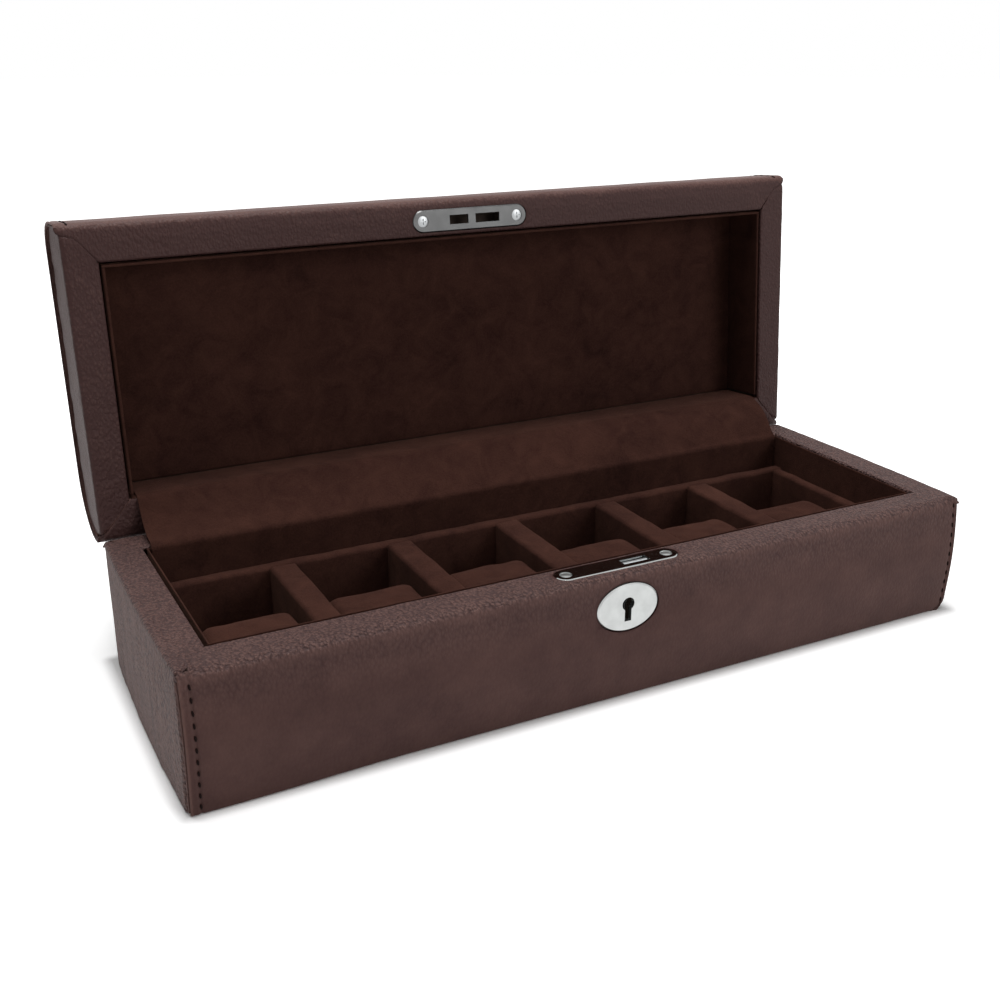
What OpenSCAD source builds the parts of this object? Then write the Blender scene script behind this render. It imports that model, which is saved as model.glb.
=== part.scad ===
// Watch box in padded leather: a hinged lid, a lock with a rising bolt and a suede tray of six slots,
// each with a lift-out cushion. X runs along the box, the front faces -Y and Z is up.
// The origin is the centre of the face that the box rests on. The lid is drawn standing open.

/* [Slots] */
// Clear width of one watch slot
slot_width = 39.5; // [36:0.1:46]
// Clear length of one watch slot, front to back
slot_length = 75; // [68:0.5:86]
// Thickness of the dividers between slots
divider = 11.4; // [8:0.1:14]
// Height of the rails and dividers above the tray floor
tray_height = 30.8; // [26:0.1:38]
// Thickness of the front rail of the tray
front_rail = 5.5; // [4.6:0.1:9]
// Thickness of the rear rail of the tray
rear_rail = 6; // [4.6:0.1:9]
// Thickness of the two end rails of the tray
end_rail = 5.3; // [4.6:0.1:9]
// Thickness of the tray floor
tray_floor_t = 2; // [1.5:0.1:4]
// Play between the tray and the linings round it
tray_play = 0.2; // [0.1:0.05:0.4]
// Radius of the padded top edges of rails and dividers
rail_round = 2; // [1:0.1:2.2]

/* [Cushions] */
// Length of a cushion, front to back
cushion_length = 53; // [46:0.5:64]
// Height of a cushion
cushion_height = 28.4; // [26:0.1:32]
// Clearance on each side of a cushion in its slot
cushion_play = 0.5; // [0.3:0.1:1]
// Radius of the upper front and rear ends of a cushion
cushion_end = 12; // [7:0.5:14]
// Radius of the shoulders of a cushion, left and right
cushion_shoulder = 5; // [2:0.5:8]

/* [Box] */
// Height of the base rim above the tray's top edge
tray_drop = 14.5; // [12:0.1:24]
// Width of the leather rim at the front
rim_front = 13; // [12:0.1:17]
// Width of the leather rim at the rear
rim_rear = 13; // [12:0.1:17]
// Width of the leather rim at both ends
rim_end = 11; // [8:0.1:16]
// Thickness of the floor board of the base
floor_board = 4; // [3:0.1:8]
// Thickness of the suede covered lining strips
lining = 2; // [1.4:0.1:3]
// Height of the rim above the top edges of the linings
lip_drop = 0.4; // [0.2:0.1:0.8]
// Gap behind the tray in which the suede flap hangs
flap_gap = 1.3; // [1.2:0.1:3]

/* [Lid] */
// Depth of the recess in the lid
recess_depth = 21.2; // [19:0.1:32]
// Thickness of the padded suede panel in the lid
panel = 1.8; // [1.2:0.1:3]
// Thickness of the top board of the lid
lid_board = 2.8; // [2.2:0.1:6]
// Angle at which the open lid stands, in degrees
lid_angle = 95; // [90:1:105]
// Gap between the rims of the closed box
rim_gap = 0.5; // [0.4:0.05:0.9]
// Radius of the lid's upper front edge
lid_front_round = 9; // [4:0.5:12]
// Radius of the lid's upper rear edge
lid_rear_round = 20; // [8:0.5:21]

/* [Leather] */
// Thickness of the leather
leather = 1.2; // [1:0.1:1.5]
// Swell of the thin foam padding under the front, rear and top faces
puff = 1.5; // [0.8:0.1:2]
// Overhang of the stitched ends of the leather wraps
flange = 2; // [1:0.1:3]
// Radius at which the leather turns over the front and rear rims
rim_fold = 3; // [2.4:0.1:3.4]
// Radius at which the leather turns over the end rims
end_fold = 5; // [2.5:0.1:6]
// Radius of the lower front and rear edges of the base
lower_round = 2; // [2:0.5:8]
// Thickness of the suede flap over the hinge line
flap_t = 1; // [0.8:0.05:1.1]
// Depth to which the flap hangs below the tray's top edge
flap_tail = 10; // [4:1:25]

/* [Lock] */
// Length of the lock plate and of the strike plate
plate_length = 53.5; // [49:0.5:64]
// Width of the lock plate and of the strike plate
plate_width = 9.2; // [8.4:0.1:9.8]
// Thickness of both plates
plate_t = 1; // [0.8:0.1:1.2]
// Height that both plates stand proud of their rims
plate_proud = 0.15; // [0.05:0.01:0.18]
// Bevel round the edge of both plates
plate_bevel = 0.45; // [0.2:0.05:0.6]
// Distance from the front of the box to the middle of both plates
plate_inset = 6.9; // [6.6:0.1:7.4]
// Distance from the end of a plate to the middle of its screw
screw_inset = 4.65; // [4:0.05:5]
// Radius of the screw heads in the plates
screw_head_r = 2.4; // [2:0.1:2.6]
// Radius of the screw shanks in the plates
screw_r = 1.1; // [0.8:0.1:1.3]
// Length of the screws in the plates
screw_length = 9; // [6:0.5:14]
// Clearance between the lock case and the screws of its plate
case_room = 2; // [0.5:0.1:3]
// Width of the lock case, front to back
case_width = 7.6; // [7:0.1:8]
// Depth of the lock case below its plate
case_depth = 25; // [22:0.5:30]
// Distance of the bolt to the right of the middle
bolt_x = 7.9; // [6:0.1:9]
// Length of the bolt's head along the box
bolt_length = 10.5; // [8:0.1:11]
// Thickness of the bolt
bolt_t = 2.4; // [1.8:0.1:2.8]
// How far the bolt rises
bolt_travel = 5.5; // [4:0.1:6]
// Clearance at each end of the bolt in its slot
bolt_play = 0.4; // [0.3:0.05:0.6]
// Width of the bolt's slot and of the strike's windows
window_width = 3.8; // [3.6:0.1:4.6]
// Length of the strike's left window
left_window = 8.7; // [6:0.1:9.5]
// Distance between the strike's two windows
window_web = 3.4; // [2.5:0.1:4]
// Depth of the mortise behind the strike's windows
strike_mortise = 7; // [6.5:0.1:9]

/* [Key plate] */
// Length of the oval key plate
oval_length = 26.8; // [22:0.1:32]
// Height of the oval key plate
oval_height = 19.2; // [18:0.1:22]
// Thickness of the oval key plate
oval_t = 2; // [1.8:0.1:2.6]
// Distance from the rim down to the middle of the key plate
oval_drop = 14.2; // [14:0.1:17]
// Radius of the round part of the keyhole
keyhole_r = 2.65; // [2:0.05:3]
// Width of the keyhole's slot
keyhole_slot = 2.9; // [2:0.05:3.6]
// Distance from the middle of the round part down to the end of the keyhole
keyhole_length = 7; // [6:0.1:7.5]
// Height of the keyhole's round part above the middle of the key plate
keyhole_rise = 1.4; // [0:0.1:1.8]

/* [Hinges] */
// Distance from the middle of the box to the middle of each hinge
hinge_x = 110; // [60:1:125]
// Length of each hinge
hinge_length = 30; // [26:1:44]
// Distance from the rear of the box to the hinge pins
hinge_set = 1.2; // [1:0.1:2]
// Outer radius of the hinge knuckles
knuckle_r = 1.9; // [1.7:0.05:2.05]
// Radius of the hinge pins
pin_r = 0.95; // [0.8:0.05:1.05]
// Running clearance between pins and knuckles
pin_play = 0.05; // [0.03:0.01:0.08]
// Thickness of the hinge leaves
leaf_t = 0.9; // [0.7:0.05:1]
// Width of the hinge leaves in front of the rear of the box
leaf_width = 9; // [8.5:0.1:10]
// Gap between neighbouring knuckles
knuckle_gap = 0.3; // [0.2:0.05:0.5]
// Radius of the hinge screws' heads
hinge_head_r = 1.8; // [1.5:0.1:2]
// Radius of the hinge screws' shanks
hinge_screw_r = 0.8; // [0.6:0.05:1]
// Length of the hinge screws
hinge_screw_length = 7; // [5:0.5:10]

/* [Hidden] */

$fn = 40;
past = 2;
swell_steps = 16;

// colours
leather_brown = "#44332f";
suede_brown = "#4a2d26";
board_tan = "#a58a66";
nickel = "#c9cac8";
steel = "#8d9093";

// plan of the box, from the slots outwards
slots = 6;
pitch = slot_width + divider;
tray_in_x = (slots * pitch - divider) / 2;
tray_x = tray_in_x + end_rail;
lining_x = tray_x + tray_play;
in_x = lining_x + lining;
end_x = in_x + rim_end;
half_l = end_x + flange;
tray_depth = front_rail + slot_length + rear_rail;
box_depth = rim_front + lining + tray_play + tray_depth + flap_gap + lining + rim_rear;
half_d = box_depth / 2;
in_front = rim_front - half_d;
in_rear = half_d - rim_rear;
lining_front = in_front + lining;
lining_rear = in_rear - lining;
tray_front = lining_front + tray_play;
slot_front = tray_front + front_rail;
slot_rear = slot_front + slot_length;
tray_rear = slot_rear + rear_rail;

// levels of the base
board_top = leather + floor_board;
tray_z = board_top + tray_floor_t;
tray_top = tray_z + tray_height;
rim_z = tray_top + tray_drop;
wall_top = rim_z - leather;
board_x = end_x - leather;
lip_flat = 0.1;

// levels of the lid, which is drawn closed and then swung open
lid_z = rim_z + rim_gap;
lid_floor = lid_z + recess_depth;
lid_board_z = lid_floor + panel;
lid_top = lid_board_z + lid_board + leather;
hinge_y = half_d + hinge_set;
hinge_z = rim_z + rim_gap / 2;

// cushions
cushion_x = slot_width - 2 * cushion_play;
cushion_gap = 0.5;
cushion_low_round = 4;
cushion_low_side = 3;

// lock
lock_y = plate_inset - half_d;
plate_top = rim_z + plate_proud;
plate_z = plate_top - plate_t;
strike_z = lid_z - plate_proud;
screw_spacing = plate_length - 2 * screw_inset;
case_length = screw_spacing - 2 * (screw_r + case_room);
case_wall = 0.8;
case_z = plate_z - case_depth;
bolt_drop = 0.3;
bolt_flat = 0.2;
bolt_top = plate_top - bolt_drop;
tail_room = 0.5;
tail_left = -9;
key_z = rim_z - oval_drop + keyhole_rise;
tail_top = plate_z - bolt_travel - tail_room;
tail_z = key_z + keyhole_length - bolt_travel;
bolt_right = bolt_x + bolt_length / 2;
ledge_room = 5;
ledge_x = keyhole_r + ledge_room;
ledge_t = 3;
window_long = bolt_length + 2 * bolt_play;
window_left_edge = bolt_x - window_long / 2 - window_web - left_window;
mortise_room = 1;
oval_back = -half_d;
oval_bevel = 0.45;
key_room = 0.3;
head_t = 0.9;
head_dome = 0.35;
cross_arm = 1.3;
cross_t = 0.5;
cross_depth = 0.5;

// hinges
bore_r = pin_r + pin_play;
knuckle_mid = 0.45 * hinge_length;
leaf_screw_back = 0.5;
leaf_screw_y = half_d - leaf_width / 2 - leaf_screw_back;
leaf_screw_edge = 5;
leaf_screw_x = hinge_length / 2 - leaf_screw_edge;
barrel_room = 0.3;
hinge_dome = 0.1;

// flap, followed from the lid's recess down behind the tray
flap_x = lining_x - 1;
flap_over = 0.75;
flap_start = swung([lining_rear - flap_t / 2, lid_floor]);
flap_lip = swung([lining_rear - flap_t / 2, lid_z + lip_drop]);
flap_turn = lid_angle - 90;
flap_front = in_rear + flap_over;
flap_r = (flap_lip[0] - flap_front) / (1 + sin(flap_turn));
flap_centre = flap_lip - flap_r * [sin(flap_turn), cos(flap_turn)];
flap_y = (tray_rear + lining_rear) / 2;
blend_r = 1.6;
blend_angle = 75;
blend_way = (flap_front - flap_y - 2 * blend_r * (1 - cos(blend_angle))) / sin(blend_angle);
blend_drop = 2 * blend_r * sin(blend_angle) + blend_way * cos(blend_angle);
blend_end = flap_centre[1] - blend_drop;
flap_line = concat(
    [flap_start],
    arc_points(flap_centre, flap_r, 90 - flap_turn, 180, 18),
    arc_points([flap_front - blend_r, flap_centre[1]], blend_r, -4, -blend_angle, 5),
    arc_points([flap_y + blend_r, blend_end], blend_r, 180 - blend_angle, 180, 6),
    [[flap_y, tray_top - flap_tail]]
);

// point in the section of the closed lid, carried to where the open lid holds it
function swung(p) = let (y = p[0] - hinge_y, z = p[1] - hinge_z)
    [hinge_y + y * cos(lid_angle) + z * sin(lid_angle), hinge_z - y * sin(lid_angle) + z * cos(lid_angle)];

// points along an arc from one angle to another
function arc_points(centre, r, from, to, steps) =
    [for (i = [0:steps]) let (a = from + (to - from) * i / steps) centre + r * [cos(a), sin(a)]];

// line shifted sideways by d
function beside(line, d) = let (last = len(line) - 1)
    [for (i = [0:last]) let (
        along = line[min(i + 1, last)] - line[max(i - 1, 0)],
        unit = along / norm(along)
    ) line[i] + d * [-unit[1], unit[0]]];

function backwards(line) = [for (i = [len(line) - 1:-1:0]) line[i]];

// Section drawn in Y and Z, drawn out along X
module along_x(x0, x1) {
    translate([x0, 0, 0])
    rotate([90, 0, 90])
    linear_extrude(height = x1 - x0)
    children();
}

// Section drawn in X and Z, drawn out along Y
module along_y(y0, y1) {
    translate([0, y1, 0])
    rotate([90, 0, 0])
    linear_extrude(height = y1 - y0)
    children();
}

// Plan drawn in X and Y, drawn out upwards
module along_z(z0, z1) {
    translate([0, 0, z0])
    linear_extrude(height = z1 - z0)
    children();
}

module block(low, high) {
    translate(low)
    cube(high - low);
}

module area(low, high) {
    translate(low)
    square(high - low);
}

// Disc in a corner of an outline
module corner(centre, r) {
    translate(centre)
    circle(r = r);
}

// Outline between two corners, with its lower left, lower right, upper right and upper left radii
module outline(low, high, r) {
    polygon([
        [low[0] + r[0], low[1]], [high[0] - r[1], low[1]],
        [high[0], low[1] + r[1]], [high[0], high[1] - r[2]],
        [high[0] - r[2], high[1]], [low[0] + r[3], high[1]],
        [low[0], high[1] - r[3]], [low[0], low[1] + r[0]]
    ]);
    corner([low[0] + r[0], low[1] + r[0]], r[0]);
    corner([high[0] - r[1], low[1] + r[1]], r[1]);
    corner([high[0] - r[2], high[1] - r[2]], r[2]);
    corner([low[0] + r[3], high[1] - r[3]], r[3]);
}

// Outline with square lower corners and one radius on both upper corners
module arched(low, high, r) {
    area(low, [high[0], high[1] - r]);
    area([low[0] + r, low[1]], [high[0] - r, high[1]]);
    corner([low[0] + r, high[1] - r], r);
    corner([high[0] - r, high[1] - r], r);
}

// Swell over a straight edge of length span, centred on the origin and rising along the second axis
module swell(span, rise) {
    polygon([
        for (i = [0:swell_steps]) let (t = 2 * i / swell_steps - 1) [-t * span / 2, rise * (1 - t * t)]
    ]);
}

// Long plate with round ends, centred on the origin
module stadium(length, width) {
    area([(width - length) / 2, -width / 2], [(length - width) / 2, width / 2]);
    corner([(width - length) / 2, 0], width / 2);
    corner([(length - width) / 2, 0], width / 2);
}

module ellipse(length, height) {
    scale([length / height, 1])
    circle(r = height / 2, $fn = 72);
}

// Left and right copies
module both() {
    children();
    mirror([1, 0, 0])
    children();
}

// Lid parts, drawn closed and swung open about the hinge line
module open_lid() {
    translate([0, hinge_y, hinge_z])
    rotate([-lid_angle, 0, 0])
    translate([0, -hinge_y, -hinge_z])
    children();
}

// Plan of the part of the rims that the front and rear wraps cover, cut at the mitres
module mitre_plan() {
    reach_front = past / rim_front;
    reach_rear = past / rim_rear;
    front_x = end_x + rim_end * reach_front;
    rear_x = end_x + rim_end * reach_rear;
    polygon([
        [-front_x, -half_d - past], [front_x, -half_d - past],
        [in_x, in_front], [-in_x, in_front]
    ]);
    polygon([
        [-rear_x, half_d + past], [rear_x, half_d + past],
        [in_x, in_rear], [-in_x, in_rear]
    ]);
}

// Section of the base in Y and Z: outside of the leather, and boards inside it
module base_outside() {
    outline([-half_d, 0], [half_d, rim_z], [lower_round, lower_round, rim_fold, rim_fold]);
    face = rim_z - rim_fold - lower_round;
    middle = lower_round + face / 2;
    translate([-half_d, middle])
    rotate(90)
    swell(face, puff);
    translate([half_d, middle])
    rotate(-90)
    swell(face, puff);
}

module base_inside() {
    low = lower_round - leather;
    high = rim_fold - leather;
    outline([leather - half_d, leather], [half_d - leather, wall_top], [low, low, high, high]);
}

// Section of the lid in Y and Z
module lid_outside() {
    outline([-half_d, lid_z], [half_d, lid_top], [rim_fold, rim_fold, lid_rear_round, lid_front_round]);
    face = lid_top - lid_front_round - lid_z - rim_fold;
    translate([-half_d, lid_z + rim_fold + face / 2])
    rotate(90)
    swell(face, puff / 2);
    top = box_depth - lid_front_round - lid_rear_round;
    translate([(lid_front_round - lid_rear_round) / 2, lid_top])
    swell(top, puff);
}

module lid_inside() {
    fold = rim_fold - leather;
    outline(
        [leather - half_d, lid_z + leather],
        [half_d - leather, lid_top - leather],
        [fold, fold, lid_rear_round - leather, lid_front_round - leather]
    );
}

// Section of the base and of the lid in X and Z
module base_ends(inset) {
    arched([inset - end_x, 0], [end_x - inset, rim_z - inset], end_fold - inset);
}

module lid_ends(inset) {
    translate([0, lid_z])
    mirror([0, 1])
    arched([inset - end_x, lid_z - lid_top - past], [end_x - inset, -inset], end_fold - inset);
}

// The lid's rim mirrors the base's rim about the hinge line
module facing() {
    translate([0, 0, 2 * hinge_z])
    mirror([0, 0, 1])
    children();
}

// Keyhole in X and Z, widened by room
module keyhole(room) {
    corner([0, key_z], keyhole_r + room);
    area(
        [-keyhole_slot / 2 - room, key_z - keyhole_length - room],
        [keyhole_slot / 2 + room, key_z]
    );
}

// Countersunk screw with its domed head's top at the origin
module screw(r, head_r, dome, length) {
    ball = (head_r * head_r + dome * dome) / (2 * dome);
    translate([0, 0, -length])
    cylinder(r = r, h = length - dome - head_t / 2);
    translate([0, 0, -dome - head_t])
    cylinder(r1 = r, r2 = head_r, h = head_t);
    intersection() {
        translate([0, 0, -ball])
        sphere(r = ball);
        translate([0, 0, -dome])
        cylinder(r = head_r, h = past);
    }
}

// Hole and countersink for such a screw
module screw_seat(r, head_r, dome, length) {
    translate([0, 0, -length])
    cylinder(r = r, h = length);
    translate([0, 0, -dome - head_t])
    cylinder(r1 = r, r2 = head_r, h = head_t);
    translate([0, 0, -dome])
    cylinder(r = head_r, h = dome + past);
}

module at_plate_screws() {
    both()
    translate([screw_spacing / 2, lock_y, plate_top])
    children();
}

module at_leaf_screws() {
    both()
    for (side = [-1, 1])
    translate([hinge_x + side * leaf_screw_x, leaf_screw_y, rim_z])
    children();
}

module plate_seats() {
    at_plate_screws()
    screw_seat(screw_r, screw_head_r, head_dome, screw_length);
}

// Pocket for a plate that lies in a rim
module plate_pocket() {
    translate([0, lock_y, 0])
    along_z(plate_z, rim_z + past)
    stadium(plate_length, plate_width);
    plate_seats();
}

// Everything cut for the lock out of the front board and its leather
module lock_cuts() {
    plate_pocket();
    block(
        [-case_length / 2, lock_y - case_width / 2, case_z],
        [case_length / 2, lock_y + case_width / 2, rim_z]
    );
    along_y(-half_d - 2 * past, lock_y)
    keyhole(key_room);
    along_y(-half_d - 2 * past, oval_back)
    translate([0, rim_z - oval_drop])
    ellipse(oval_length, oval_height);
}

// Everything cut for the strike out of the closed lid's front board and its leather
module strike_cuts() {
    facing()
    plate_pocket();
    half = window_width / 2 + mortise_room;
    block(
        [window_left_edge - mortise_room, lock_y - half, lid_z],
        [bolt_x + window_long / 2 + mortise_room, lock_y + half, strike_z + strike_mortise]
    );
}

// Pockets for the leaves and screws of the hinges in the base
module hinge_cuts() {
    both()
    block(
        [hinge_x - hinge_length / 2, half_d - leaf_width, rim_z - leaf_t],
        [hinge_x + hinge_length / 2, half_d + past, rim_z + past]
    );
    at_leaf_screws()
    screw_seat(hinge_screw_r, hinge_head_r, hinge_dome, hinge_screw_length);
}

// Boards
module base_floor_board()
color(board_tan)
along_x(-board_x, board_x)
intersection() {
    base_inside();
    area([-half_d, 0], [half_d, board_top]);
}

module base_wall(y0, y1) {
    intersection() {
        along_x(-board_x, board_x)
        intersection() {
            base_inside();
            area([y0, board_top], [y1, rim_z]);
        }
        along_y(-half_d, half_d)
        base_ends(leather);
    }
}

module base_front_board()
color(board_tan)
difference() {
    base_wall(-half_d, in_front);
    lock_cuts();
}

module base_rear_board()
color(board_tan)
difference() {
    base_wall(in_rear, half_d);
    hinge_cuts();
}

module base_end_boards()
color(board_tan)
both()
along_y(in_front, in_rear)
intersection() {
    base_ends(leather);
    area([in_x, board_top], [end_x, rim_z]);
}

// Leather wrap of the base: rims, front, bottom and rear, with its foam padding
module base_wrap()
color(leather_brown)
difference() {
    union() {
        along_x(-half_l, half_l)
        intersection() {
            difference() {
                base_outside();
                base_inside();
            }
            area([-half_d - past, 0], [half_d + past, rim_z - rim_fold]);
        }
        intersection() {
            along_x(-end_x, end_x)
            intersection() {
                difference() {
                    base_outside();
                    base_inside();
                }
                area([-half_d - past, rim_z - rim_fold], [half_d + past, rim_z]);
            }
            along_y(-half_d - past, half_d + past)
            base_ends(0);
            along_z(0, rim_z + past)
            mitre_plan();
        }
    }
    lock_cuts();
    hinge_cuts();
}

// Leather of one end of the base: cheek and end rim
module base_cover()
color(leather_brown)
intersection() {
    along_y(-half_d, half_d)
    difference() {
        intersection() {
            base_ends(0);
            area([in_x, 0], [end_x, rim_z]);
        }
        base_ends(leather);
    }
    difference() {
        union() {
            along_x(in_x, end_x)
            intersection() {
                base_inside();
                area([-half_d, 0], [half_d, rim_z - rim_fold]);
            }
            along_x(in_x, end_x)
            intersection() {
                base_outside();
                area([-half_d, rim_z - rim_fold], [half_d, rim_z]);
            }
        }
        along_z(rim_z - rim_fold, rim_z + past)
        mitre_plan();
    }
}

module base_right_cover()
base_cover();

module base_left_cover()
mirror([1, 0, 0])
base_cover();

// Suede covered lining strips of the base
module lining_strip(y0, z0) {
    along_x(-in_x, in_x)
    arched([y0, z0], [y0 + lining, rim_z - lip_drop], lining / 2 - lip_flat);
}

module base_front_lining()
color(suede_brown)
lining_strip(in_front, board_top);

module base_rear_lining()
color(suede_brown)
lining_strip(lining_rear, board_top);

module end_lining(z0) {
    along_y(lining_front, lining_rear)
    arched([lining_x, z0], [in_x, rim_z - lip_drop], lining / 2 - lip_flat);
}

module base_end_linings()
color(suede_brown)
both()
end_lining(board_top);

// Suede covered tray
module tray_floor()
color(suede_brown)
block([-tray_x, tray_front, board_top], [tray_x, tray_rear, tray_z]);

module tray_rail(y0, y1) {
    color(suede_brown)
    along_x(-tray_x, tray_x)
    arched([y0, tray_z], [y1, tray_top], rail_round);
}

module tray_front_rail()
tray_rail(tray_front, slot_front);

module tray_rear_rail()
tray_rail(slot_rear, tray_rear);

module tray_end_rails()
color(suede_brown)
both()
along_y(slot_front, slot_rear)
arched([tray_in_x, tray_z], [tray_x, tray_top], rail_round);

module tray_divider(number) {
    middle = (number - slots / 2) * pitch;
    color(suede_brown)
    along_y(slot_front, slot_rear)
    arched([middle - divider / 2, tray_z], [middle + divider / 2, tray_top], rail_round);
}

// Cushion in the front of its slot
module cushion(number) {
    middle = (number - (slots + 1) / 2) * pitch;
    y0 = slot_front + cushion_gap;
    y1 = y0 + cushion_length;
    top = tray_z + cushion_height;
    half = cushion_x / 2;
    low = cushion_low_round;
    side = cushion_low_side;
    color(suede_brown)
    intersection() {
        along_x(middle - half, middle + half)
        outline([y0, tray_z], [y1, top], [low, low, cushion_end, cushion_end]);
        along_y(y0, y1)
        outline(
            [middle - half, tray_z],
            [middle + half, top],
            [side, side, cushion_shoulder, cushion_shoulder]
        );
    }
}

// Lock set
module lock_case()
color(steel)
difference() {
    block(
        [-case_length / 2, lock_y - case_width / 2, case_z],
        [case_length / 2, lock_y + case_width / 2, plate_z]
    );
    difference() {
        block(
            [case_wall - case_length / 2, lock_y - case_width / 2 + case_wall, case_z + case_wall],
            [case_length / 2 - case_wall, lock_y + case_width / 2 - case_wall, plate_z + past]
        );
        block(
            [ledge_x, lock_y - case_width / 2, tail_z - ledge_t],
            [case_length / 2, lock_y + case_width / 2, tail_z]
        );
    }
    along_y(lock_y - case_width, lock_y)
    keyhole(0);
}

// Plate with bevelled edges, its upper face at plate_top
module rim_plate() {
    translate([0, lock_y, 0]) {
        along_z(plate_z, plate_top - plate_bevel)
        stadium(plate_length, plate_width);
        both()
        translate([(plate_length - plate_width) / 2, 0, plate_top - plate_bevel])
        cylinder(r1 = plate_width / 2, r2 = plate_width / 2 - plate_bevel, h = plate_bevel);
        along_x((plate_width - plate_length) / 2, (plate_length - plate_width) / 2)
        polygon([
            [-plate_width / 2, plate_top - plate_bevel],
            [plate_width / 2, plate_top - plate_bevel],
            [plate_width / 2 - plate_bevel, plate_top],
            [plate_bevel - plate_width / 2, plate_top]
        ]);
    }
}

// Slot in a plate between two places along it
module plate_slot(x0, x1) {
    half = window_width / 2;
    block([x0, lock_y - half, plate_z - past], [x1, lock_y + half, plate_top + past]);
}

module lock_plate()
color(nickel)
difference() {
    rim_plate();
    plate_slot(bolt_x - window_long / 2, bolt_x + window_long / 2);
    plate_seats();
}

module lock_screws()
color(nickel)
at_plate_screws()
screw(screw_r, screw_head_r, head_dome, screw_length);

// Bolt with the tail that the key's bit lifts; its head has a rounded top
module lock_bolt()
color(steel) {
    along_x(bolt_x - bolt_length / 2, bolt_right)
    translate([lock_y, 0])
    arched([-bolt_t / 2, tail_z], [bolt_t / 2, bolt_top], bolt_t / 2 - bolt_flat);
    block([tail_left, lock_y - bolt_t / 2, tail_z], [bolt_right, lock_y + bolt_t / 2, tail_top]);
}

module key_plate()
color(nickel)
difference() {
    intersection() {
        along_y(-half_d - oval_t, oval_back)
        translate([0, rim_z - oval_drop])
        ellipse(oval_length, oval_height);
        translate([0, oval_back, rim_z - oval_drop])
        rotate([90, 0, 0])
        scale([oval_length / oval_height, 1, 1])
        cylinder(
            r1 = oval_height / 2 + oval_t - oval_bevel,
            r2 = oval_height / 2 - oval_bevel,
            h = oval_t,
            $fn = 72
        );
    }
    along_y(-half_d - oval_t - past, 0)
    keyhole(0);
}

// Hinges
module leaf(knuckles) {
    half = hinge_length / 2;
    both()
    translate([hinge_x, 0, 0])
    difference() {
        union() {
            block([-half, half_d - leaf_width, rim_z - leaf_t], [half, hinge_y, rim_z]);
            translate([-half, hinge_y, hinge_z])
            rotate([0, 90, 0])
            cylinder(r = knuckle_r, h = hinge_length);
        }
        translate([-half - past, hinge_y, hinge_z])
        rotate([0, 90, 0])
        cylinder(r = bore_r, h = hinge_length + 2 * past);
        for (gap = knuckles)
        block(
            [gap[0], hinge_y - knuckle_r - barrel_room, hinge_z - knuckle_r - past],
            [gap[1], hinge_y + knuckle_r + past, hinge_z + knuckle_r + past]
        );
    }
}

module hinge_base_leaves()
color(nickel)
difference() {
    leaf([[-knuckle_mid / 2 - knuckle_gap, knuckle_mid / 2 + knuckle_gap]]);
    at_leaf_screws()
    screw_seat(hinge_screw_r, hinge_head_r, hinge_dome, hinge_screw_length);
}

module hinge_lid_leaves()
color(nickel)
open_lid()
facing()
difference() {
    leaf([
        [-hinge_length / 2 - past, -knuckle_mid / 2],
        [knuckle_mid / 2, hinge_length / 2 + past]
    ]);
    at_leaf_screws()
    screw_seat(hinge_screw_r, hinge_head_r, hinge_dome, hinge_screw_length);
}

module hinge_pins()
color(steel)
both()
translate([hinge_x - hinge_length / 2, hinge_y, hinge_z])
rotate([0, 90, 0])
cylinder(r = pin_r, h = hinge_length);

module leaf_screw_set() {
    at_leaf_screws()
    screw(hinge_screw_r, hinge_head_r, hinge_dome, hinge_screw_length);
}

module hinge_base_screws()
color(steel)
leaf_screw_set();

module hinge_lid_screws()
color(steel)
open_lid()
facing()
leaf_screw_set();

// Suede flap from the lid's recess over the hinge line and down behind the tray
module hinge_flap()
color(suede_brown)
along_x(-flap_x, flap_x)
polygon(concat(beside(flap_line, flap_t / 2), backwards(beside(flap_line, -flap_t / 2))));

// Lid
module lid_top_board()
color(board_tan)
open_lid()
along_x(-board_x, board_x)
intersection() {
    lid_inside();
    area([-half_d, lid_board_z], [half_d, lid_top]);
}

module lid_wall(y0, y1) {
    intersection() {
        along_x(-board_x, board_x)
        intersection() {
            lid_inside();
            area([y0, lid_z], [y1, lid_board_z]);
        }
        along_y(-half_d, half_d)
        lid_ends(leather);
    }
}

module lid_front_board()
color(board_tan)
open_lid()
difference() {
    lid_wall(-half_d, in_front);
    strike_cuts();
}

module lid_rear_board()
color(board_tan)
open_lid()
difference() {
    lid_wall(in_rear, half_d);
    facing()
    hinge_cuts();
}

module lid_end_boards()
color(board_tan)
open_lid()
both()
along_y(in_front, in_rear)
intersection() {
    lid_ends(leather);
    area([in_x, lid_z], [end_x, lid_board_z]);
}

// Leather wrap of the lid: rims, front, top and rear, with its foam padding
module lid_wrap()
color(leather_brown)
open_lid()
difference() {
    union() {
        along_x(-half_l, half_l)
        intersection() {
            difference() {
                lid_outside();
                lid_inside();
            }
            area([-half_d - past, lid_z + rim_fold], [half_d + past, lid_top + past]);
        }
        intersection() {
            along_x(-end_x, end_x)
            intersection() {
                difference() {
                    lid_outside();
                    lid_inside();
                }
                area([-half_d - past, lid_z], [half_d + past, lid_z + rim_fold]);
            }
            along_y(-half_d - past, half_d + past)
            lid_ends(0);
            along_z(lid_z - past, lid_top)
            mitre_plan();
        }
    }
    strike_cuts();
    facing()
    hinge_cuts();
}

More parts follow.
